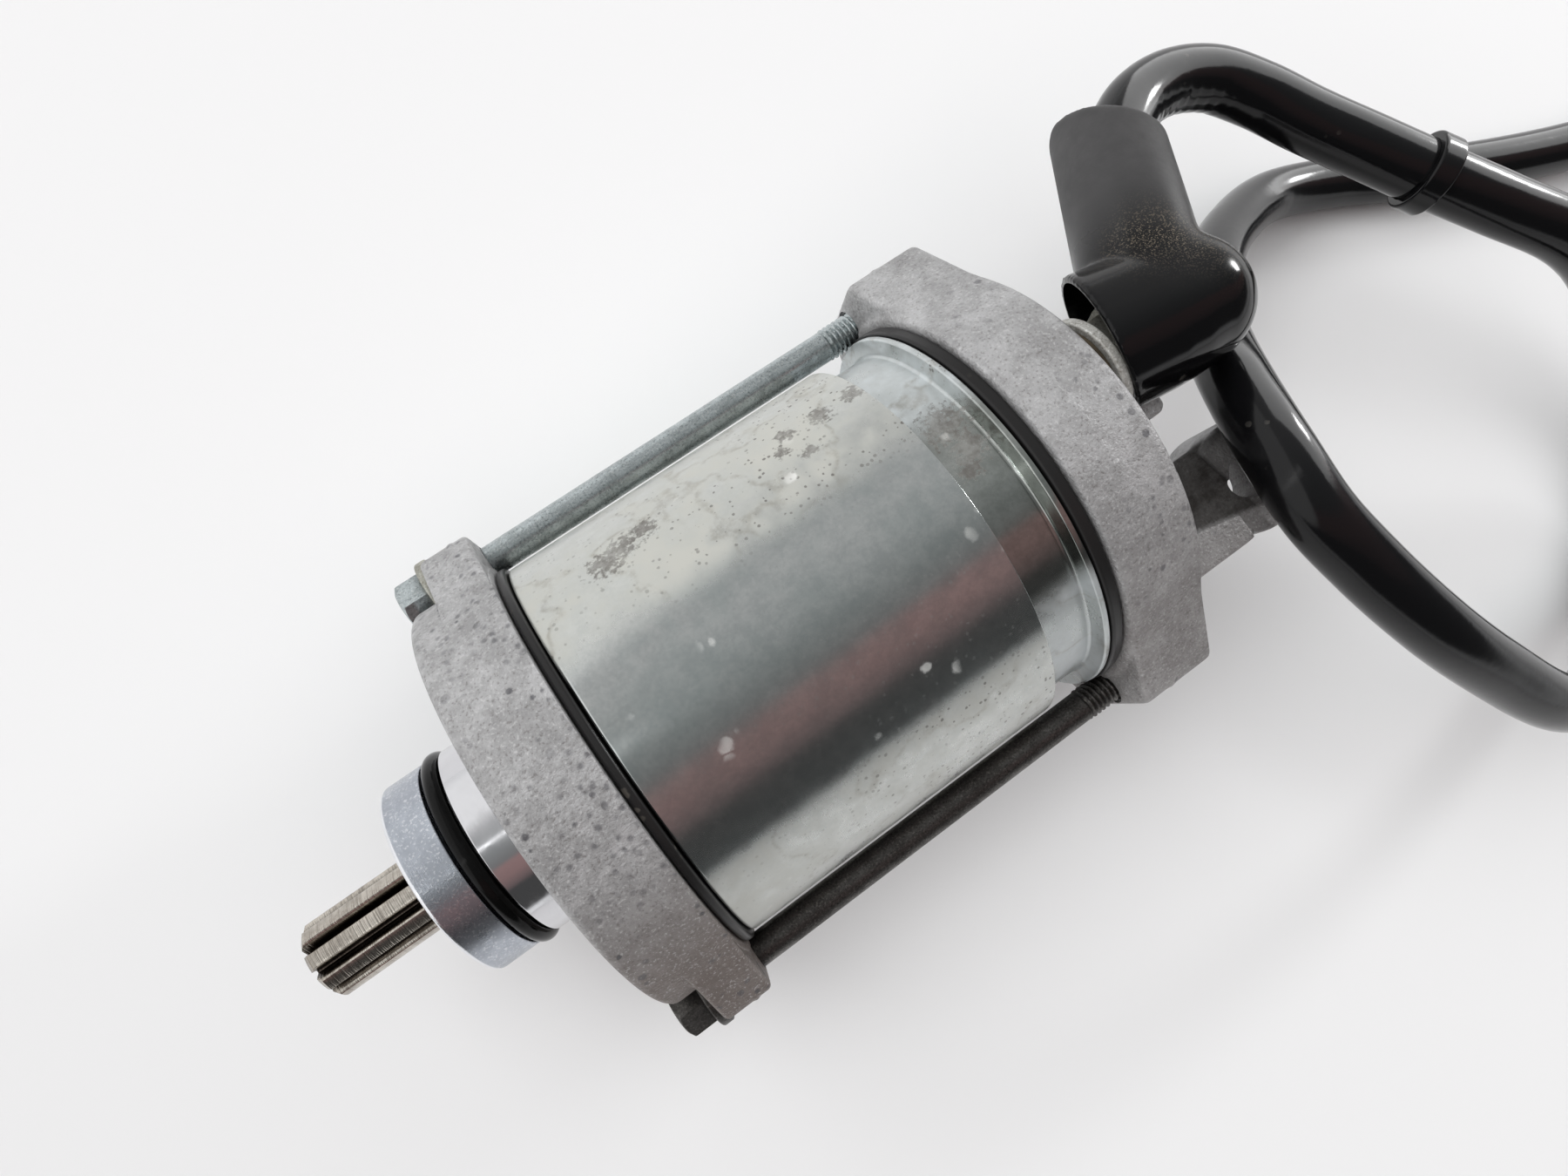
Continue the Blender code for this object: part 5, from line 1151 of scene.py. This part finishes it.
def makeBolts():
    start, end, outer, bore = bolts["washer"]
    front, rear = bolts["washerEdges"]
    profile = rounded([(start, outer, front), (end, outer, rear), (end, bore), (start, bore, rear)])
    firstAbove = nodeBox("through_bolt_1")[0][1] > 0
    # the bolt and its washer on the -Y side take the darker bolt finish
    sides = ((1, -1, "boltDarker", "boltDarker"), (2, 1, "bolt", "washer"))
    for number, side, boltFinish, washerFinish in sides:
        which = 1 if firstAbove == (side > 0) else 2  # the node on this side
        name = f"throughBolt{number}"
        mesh = boltMesh(name, side)
        addPiece(name, mesh, boltFinish, "motor", [f"through_bolt_{which}"], 40.0)
        name = f"boltWasher{number}"
        mesh = turnedMesh(name, profile, 128, (0.0, side * ears["bolt"], 0.0))
        addPiece(name, mesh, washerFinish, "motor", [f"bolt_washer_{which}"])


makeBolts()
print("bolts made")

# Shaft and pinion
shaft = {
    "teeth": 9, "tip": 5.3, "root": 3.25, "pinion": (-47.5, -29.6), "hub": 0.45, "chamfer": 0.7,
    "droop": 0.12, "plain": 1.2, "runout": 2.2, "overlap": 0.1,
    "flank": ((9.6, 5.3), (10.8, 5.16), (12.4, 4.95), (13.8, 4.5), (15.0, 3.9), (16.2, 3.4), (17.4, 3.28)),
    "body": (
        (-29.6, 0.0), (-29.6, 5.25), (-28.7, 6.0), (-2.4, 6.0), (-2.4, 7.4), (1.8, 7.4),
        (1.8, 6.0), (60.2, 6.0), (60.2, 4.0), (68.1, 4.0), (68.7, 3.4), (68.7, 0.0),
    ),
}


# A tooth's reach falls from its flat top, down a flank to the root, by the angle in degrees from its middle
def toothReach(turn):
    pitch = math.tau / shaft["teeth"]
    offset = np.degrees(np.abs((turn + pitch / 2) % pitch - pitch / 2))
    angles, reaches = np.transpose([(0, shaft["tip"]), *shaft["flank"], (20, shaft["root"])])
    return np.interp(offset, angles, reaches)


def makeShaft():
    turn = np.linspace(0, math.tau, shaft["teeth"] * 60, endpoint=False)
    reach = toothReach(turn)
    start, end = shaft["pinion"]
    tip, root, chamfer, runout = shaft["tip"], shaft["root"], shaft["chamfer"], shaft["runout"]
    rows = [(start, 0.0), (start, reach * shaft["hub"])]
    for t in np.linspace(0, 1, 7):
        cone = np.minimum(reach, tip - chamfer * (1 - t)) - shaft["droop"] * (1 - t)
        rows.append((start + chamfer * t, cone))
    rows += [(x, reach) for x in np.linspace(start + shaft["plain"], end - runout, 24)]
    for t in np.linspace(0, 1, 10)[1:]:  # the cutter's round runs out at the shaft
        rise = root + (tip - root) * (1 - math.sqrt(1 - t * t))
        rows.append((end - runout * (1 - t), np.maximum(reach, rise)))
    rows += [(end + shaft["overlap"], tip), (end + shaft["overlap"], 0.0)]
    mesh = polarMesh("pinion", rows, turn)
    addPiece("pinion", mesh, "pinion", "rotor", degrees=30.0)
    mesh = turnedMesh("armatureShaft", shaft["body"], 128, closed=False)
    addPiece("armatureShaft", mesh, "pinion", "rotor", ["armature_shaft"], 30.0)


makeShaft()
print("shaft made")

# Brush springs: a circle carried along a coil, with its inner end on the brush and its outer end on the motor
springs = {
    "wire": 0.3, "curls": 2.5, "rings": 90, "sides": 10, "hold": 0.5,
    "bodies": ("brush_left", "brush_top", "brush_right", "brush_bottom"),
}


def makeSprings():
    wire, hold = springs["wire"], springs["hold"]
    share = np.linspace(0, 1, springs["rings"])[:, None]
    turn = math.tau * springs["curls"] * share
    ring = np.linspace(0, math.tau, springs["sides"], endpoint=False)[:, None]
    for number, body in enumerate(springs["bodies"], 1):
        node = f"brush_spring_{number}"
        low, high = nodeBox(node)
        middle = (low + high) / 2
        outward = unit((0.0, *middle[1:])).round()
        sideways = np.cross((1.0, 0.0, 0.0), outward)
        inner, outer = sorted((low @ outward, high @ outward))
        coil = (high[0] - low[0]) / 2 - wire
        line = np.array([middle[0], 0.0, 0.0]) + (inner + wire + (outer - inner - 2 * wire) * share) * outward
        line = line + coil * (np.cos(turn) * np.array([1.0, 0.0, 0.0]) + np.sin(turn) * sideways)
        along, side, over = carriedFrames(line, outward)
        loops = line[:, None] + wire * (side[:, None] * np.cos(ring) + over[:, None] * np.sin(ring))
        name = f"brushSpring{number}"
        piece = addPiece(name, loftMesh(name, loops), "spring", None, [node], 60.0)
        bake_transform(piece)


makeSprings()
print("brush springs made")

# Terminal: an insulating washer, a plain washer and a nut on the stud
terminal = {
    "place": rearBracket["terminal"], "bore": 3.2, "edge": 0.3,
    "washers": (
        ("insulatingWasher", "insulating_washer", (73.0, 74.3, 6.6), "fibre", "fibre"),
        ("terminalWasher", "terminal_washer", (74.4, 75.8, 7.3), "corroded", "zinc_steel"),
    ),
    "nut": (76.6, 80.4), "flats": 10.0, "cone": (4.8, 1.5, 0.7),  # radius at the face, slope, depth
}


def makeTerminal():
    centre = (0.0, *terminal["place"])
    bore, edge = terminal["bore"], terminal["edge"]
    for name, node, (start, end, radius), finish, slot in terminal["washers"]:
        profile = rounded([(start, radius, edge), (end, radius, edge), (end, bore), (start, bore)])
        addPiece(name, turnedMesh(name, profile, 128, centre), finish, "motor", [node])
    turn = np.linspace(0, math.tau, 96, endpoint=False)
    start, end = terminal["nut"]
    radius, slope, depth = terminal["cone"]
    flats = hexReach(turn, terminal["flats"])
    places = [*np.linspace(start, start + depth, 6), *np.linspace(end - depth, end, 6)]
    rows = [(x, np.minimum(flats, radius + min(x - start, end - x) * slope)) for x in places]
    rows = [(start, bore), *rows, (end, bore)]
    mesh = polarMesh("terminalNut", rows, turn, True, centre)
    addPiece("terminalNut", mesh, "washer", "motor", ["terminal_nut"], 30.0)


makeTerminal()
print("terminal made")

# Boot: a domed barrel over the stud, run into a sleeve along the cable
boot = {
    "mouth": (78.4, 7.6, 20.3), "slant": -6.3, "radius": 8.8, "flare": 9.7, "length": 22.2, "wall": 1.2,
    "shear": 0.36, "lift": 0.45, "slope": 10.0,  # of the mouth, fading out along the barrel
    "aim": (0.534, 0.795, -0.286),
    "sleeve": ((0.0, 7.2), (1.0, 8.25), (31.2, 7.65), (32.0, 7.2), (32.4, 6.3)),
    "ending": (1.5, 0.29, -0.37), "endingFrom": (20, 12), "passage": (1.0, 37.0, 5.6),
    "neck": (7.0, 6.0), "mouthRoom": 5.0, "neckRounds": 30,
    "dull": (8.0, 12.0), "dust": (8.5, 4.5), "dustAbove": (22.0, 6.0),
    "voxel": 0.4, "rounds": 3, "segments": 96,
}


# The mouth slopes: its points are drawn forward by their height and aside, less and less along the barrel
def slopedMouth(points):
    near = np.clip(1 - points[..., 0] / boot["slope"], 0, 1)
    points[..., 0] -= boot["shear"] * points[..., 2] * near
    points[..., 1] += boot["lift"] * near
    return points


# The sleeve's end is cut aslant: longer at its side, shorter over the top
def slantedEnd(points):
    further, aside, above = boot["ending"]
    start, fade = boot["endingFrom"]
    slant = further + aside * points[..., 1] + above * np.clip(points[..., 2], 0, None)
    points[..., 0] += slant * np.clip((points[..., 0] - start) / fade, 0, 1)
    return points


def bell(values, middle, width):  # 1 at the middle, falling off to either side
    return np.exp(-((values - middle) / width) ** 2)


def fadeIn(values, start, length):
    return np.clip((values - start) / length, 0, 1)


def makeBoot():
    lean = math.radians(boot["slant"])
    ahead = (math.cos(lean), math.sin(lean), 0.0)
    radius, flare, mouth, segments = boot["radius"], boot["flare"], boot["mouth"], boot["segments"]
    aim, root = boot["aim"], np.array(cable["bootRoot"])
    dome = boot["length"] - radius
    bend = np.linspace(math.pi / 2, 0, 16)

    def domed(mouthPoints, size):
        return np.vstack([mouthPoints, np.column_stack([dome + size * np.cos(bend), size * np.sin(bend)])])

    rim = [(0.0, 0.0), (0.0, flare - 0.3), (0.3, flare), (7.0, flare - 0.2), (10.0, radius + 0.4)]
    barrel = slopedMouth(turnedPoints(domed(rim, radius), segments))
    skin = np.vstack([[(0.0, 0.0)], boot["sleeve"], [(boot["sleeve"][-1][0], 0.0)]])
    sleeve = slantedEnd(turnedPoints(skin, segments))
    parts = [aimedMesh("barrel", barrel, ahead, mouth), aimedMesh("sleeve", sleeve, aim, root)]
    mesh = skinned(joined("terminalBoot", parts), boot["voxel"], boot["rounds"])
    points = meshPoints(mesh)
    along = (points - root) @ unit(aim)
    inside = (points - np.array(mouth)) @ np.array(ahead)
    share = bell(along, *boot["neck"]) * fadeIn(inside, boot["mouthRoom"], boot["mouthRoom"])
    relaxed(mesh, share, boot["neckRounds"])
    inner = radius - boot["wall"]
    rim = [(-5.0, 0.0), (-5.0, flare - 0.9), (0.0, flare - 0.9), (6.0, inner)]
    room = slopedMouth(turnedPoints(domed(rim, inner), segments))
    passage = turnedPoints(rodProfile(*boot["passage"]), segments)
    mesh = cutAway(mesh, [aimedMesh("cutter", room, ahead, mouth), aimedMesh("cutter", passage, aim, root)])
    points = meshPoints(mesh)
    along = (points - root) @ unit(aim)
    paint(mesh, "sleeve", fadeIn(along, *boot["dull"]))
    paint(mesh, "neck", bell(along, *boot["dust"]) * fadeIn(points[:, 2], *boot["dustAbove"]))
    return addPiece("terminalBoot", mesh, "boot", "motor", ["terminal_boot"], 45.0)


bootPiece = makeBoot()
print("boot made")

# Cable fittings: the band on the cable, and the ring terminal with its cover at the far end
fittings = {
    "band": {"along": 75.2, "half": 1.8, "inner": 4.65, "outer": 5.8, "edge": 0.4},
    "crimp": (0.3, 10.0, 4.4), "crimpEdge": 0.4, "reach": 13.0,
    "palm": (6.6, 3.4, 0.9),  # radius, hole, half its thickness
    "neck": {"side": (4.2, 0.3), "over": 4.0, "overlap": 1.0}, "eye": 3.0, "voxel": 0.3, "rounds": 4,
    "cover": (-14.0, 10.0, 5.7, 4.75), "segments": 96,
}


def cableAt(distance):
    steps = np.linalg.norm(np.diff(cablePath, axis=0), axis=1)
    index = int(np.searchsorted(np.cumsum(steps), distance))
    before, after = max(index - 4, 0), min(index + 4, len(cablePath) - 1)
    return cablePath[index], unit(cablePath[after] - cablePath[before])


# A crimped tube runs through a neck into a round palm. The neck's height falls by the square of what is left
def ringTerminalMesh(end, ahead):
    segments = fittings["segments"]
    start, stop, reach = fittings["crimp"]
    edge = fittings["crimpEdge"]
    tube = [(start, 0.0), (start, reach), (stop - edge, reach), (stop, reach - edge), (stop, 0.0)]
    parts = [aimedMesh("crimp", turnedPoints(tube, 64), ahead, end)]
    radius, hole, thick = fittings["palm"]
    middle = stop + fittings["reach"]
    turn = np.linspace(0, math.tau, segments, endpoint=False)
    disc = [np.column_stack([middle + r * np.cos(turn), r * np.sin(turn), np.full(segments, z)])
            for z, r in rodProfile(-thick, thick, radius)]
    parts.append(aimedMesh("palm", np.stack(disc), ahead, end))
    neck = fittings["neck"]
    run = np.linspace(0, 1, 9)[:, None]
    side = np.cos(turn) * (neck["side"][0] - neck["side"][1] * run)
    over = np.clip(np.sin(turn) * (neck["over"] * (1 - run) ** 2 + thick), -neck["over"], neck["over"])
    along = stop - neck["overlap"] + run * (fittings["reach"] - radius / 2 + neck["overlap"])
    loops = np.stack([np.broadcast_to(along, side.shape), side, over], axis=-1)
    parts.append(aimedMesh("neck", capped(loops), ahead, end))
    mesh = skinned(joined("ringTerminal", parts), fittings["voxel"], fittings["rounds"])
    eye = end + ahead * middle
    profile = rodProfile(eye[2] - fittings["eye"], eye[2] + fittings["eye"], hole)
    return cutAway(mesh, [uprightMesh("cutter", profile, eye[:2], 64)])


def makeFittings():
    segments = fittings["segments"]
    band = fittings["band"]
    half, inner, outer, edge = band["half"], band["inner"], band["outer"], band["edge"]
    place, ahead = cableAt(band["along"])
    profile = rounded([(-half, inner), (-half, outer, edge), (half, outer, edge), (half, inner)])
    mesh = aimedMesh("cableBand", turnedPoints(profile, segments), ahead, place, True)
    bandPiece = addPiece("cableBand", mesh, "sheath", "motor", ["cable_band"])

    end = cablePath[-1]
    ahead = unit(cablePath[-1] - cablePath[-2])
    mesh = ringTerminalMesh(end, ahead)
    ringPiece = addPiece("ringTerminal", mesh, "washer", "motor", ["ring_terminal"], 40.0)

    start, stop, outer, inner = fittings["cover"]
    profile = rounded([
        (start, inner), (start, 5.0, 0.1), (start + 2.5, outer, 1.5), (stop - 2.0, outer, 1.2),
        (stop, 5.1, 0.2), (stop, inner),
    ])
    mesh = aimedMesh("ringTerminalCover", turnedPoints(profile, segments), ahead, end, True)
    coverPiece = addPiece("ringTerminalCover", mesh, "sheath", "motor", ["ring_terminal_cover"])
    return [bandPiece, ringPiece, coverPiece]


fittingPieces = makeFittings()
print("cable fittings made")

# Floor, lamps and world
stage = {
    "floor": (0.86, 0.865, 0.87, 1),
    "floorReach": 4.0,
    "backdrop": (0.88, 0.885, 0.89, 1),
    "horizon": (0.16, 0.06),
    "aim": (0.03, 0.0, 0.03),
    "lamps": (
        {"name": "key", "place": (-0.6, 1.5, 2.0), "size": 1.6, "power": 24.0, "shine": False},
        {"name": "over", "place": (0.1, -0.4, 2.5), "size": 3.0, "power": 21.5, "shine": False},
        {"name": "side", "place": (0.91, 0.33, 0.38), "size": 1.2, "power": 14.0, "shine": True,
         "only": [cablePiece, *fittingPieces]},
        {"name": "spark", "place": (0.95, 0.05, 0.30), "size": 0.15, "power": 2.4, "shine": True},
    ),
    "sky": (
        (0.0, (0.07, 0.07, 0.07)), (0.215, (0.07, 0.07, 0.07)), (0.235, (0.17, 0.13, 0.13)),
        (0.30, (0.29, 0.19, 0.185)), (0.36, (0.32, 0.21, 0.205)), (0.385, (0.21, 0.21, 0.21)),
        (0.46, (0.28, 0.29, 0.29)), (0.55, (0.42, 0.43, 0.43)), (0.66, (0.54, 0.54, 0.54)),
        (1.0, (0.54, 0.54, 0.54)),
    ),
    "window": {"slope": 0.69, "edge": (0.785, 0.835), "colour": (1.0, 1.0, 1.0, 1)},
    "strip": {"spot": 0.516, "half": 0.012, "side": (0.05, 0.15), "level": 1.4},
}


def makeFloor():
    mesh = bpy.data.meshes.new("floor")
    reach = stage["floorReach"]
    corners = [(-reach, -reach, 0), (reach, -reach, 0), (reach, reach, 0), (-reach, reach, 0)]
    mesh.from_pydata(corners, [], [(0, 1, 2, 3)])
    floor = bpy.data.objects.new("floor", mesh)
    bpy.context.scene.collection.objects.link(floor)
    finish, shader, surface, place = startFinish("paleFloor", 0.8, 0.0, 0.2)
    surface.inputs["Base Color"].default_value = stage["floor"]
    mesh.materials.append(finish)


def makeLamp(lamp):
    data = bpy.data.lights.new(lamp["name"], "AREA")
    data.energy = lamp["power"]
    data.size = lamp["size"]
    light = bpy.data.objects.new(lamp["name"], data)
    place = Vector(lamp["place"])
    light.location = place
    light.rotation_euler = (Vector(stage["aim"]) - place).to_track_quat("-Z", "Y").to_euler()
    light.visible_glossy = lamp["shine"]
    if "only" in lamp:  # a sheen on these pieces alone
        receivers = bpy.data.collections.new(lamp["name"] + "Receivers")
        for piece in lamp["only"]:
            receivers.objects.link(piece)
        light.light_linking.receiver_collection = receivers
    bpy.context.scene.collection.objects.link(light)


# The sky goes by the angle from the -Y horizon over the top to the +Y horizon. A white window fills the
# +Y side, wider towards the pinion, where one narrow strip light runs overhead.
def makeWorld():
    world = bpy.data.worlds.new("studio")
    bpy.context.scene.world = world
    world.use_nodes = True
    shader = Nodes(world.node_tree)
    heading = shader.add("ShaderNodeTexCoord").outputs["Generated"]
    parts = shader.add("ShaderNodeSeparateXYZ", {0: heading}).outputs
    angle = shader.math("ARCTAN2", parts["Z"], shader.math("MULTIPLY", parts["Y"], -1.0))
    share = shader.math("DIVIDE", angle, math.pi, True)
    band = shader.add("ShaderNodeValToRGB", {"Fac": share})
    ramp = band.color_ramp
    for spot, colour in stage["sky"][1:-1]:
        ramp.elements.new(spot)
    for element, (spot, colour) in zip(ramp.elements, stage["sky"]):
        element.position = spot
        element.color = (*colour, 1)
    window = stage["window"]
    height = scaled(shader, parts["X"], -window["slope"], share)
    sky = shader.mix(shader.ramp(height, *window["edge"]), band.outputs["Color"], window["colour"])
    strip = stage["strip"]
    away = shader.math("ABSOLUTE", shader.math("SUBTRACT", share, strip["spot"]))
    glow = shader.math("MULTIPLY", shader.ramp(away, strip["half"], strip["half"] * 0.5), strip["level"])
    forward = shader.math("MULTIPLY", parts["X"], -1.0)
    glow = shader.math("MULTIPLY", glow, shader.ramp(forward, *strip["side"]))
    lit = shader.add("ShaderNodeVectorMath", {0: sky, 1: glow}, operation="ADD").outputs[0]
    # other views end in a pale backdrop, which metal shows low down
    ray = shader.add("ShaderNodeLightPath").outputs
    seen = shader.math("MAXIMUM", ray["Is Glossy Ray"], ray["Is Transmission Ray"])
    seen = shader.math("MULTIPLY", seen, shader.ramp(parts["Z"], *stage["horizon"]))
    seen = shader.math("MAXIMUM", seen, ray["Is Camera Ray"])
    lit = shader.mix(seen, lit, stage["backdrop"])
    world.node_tree.links.new(lit, world.node_tree.nodes["Background"].inputs["Color"])


makeFloor()
for lamp in stage["lamps"]:
    makeLamp(lamp)
makeWorld()
bpy.context.scene.view_settings.view_transform = "Standard"
print("stage set")
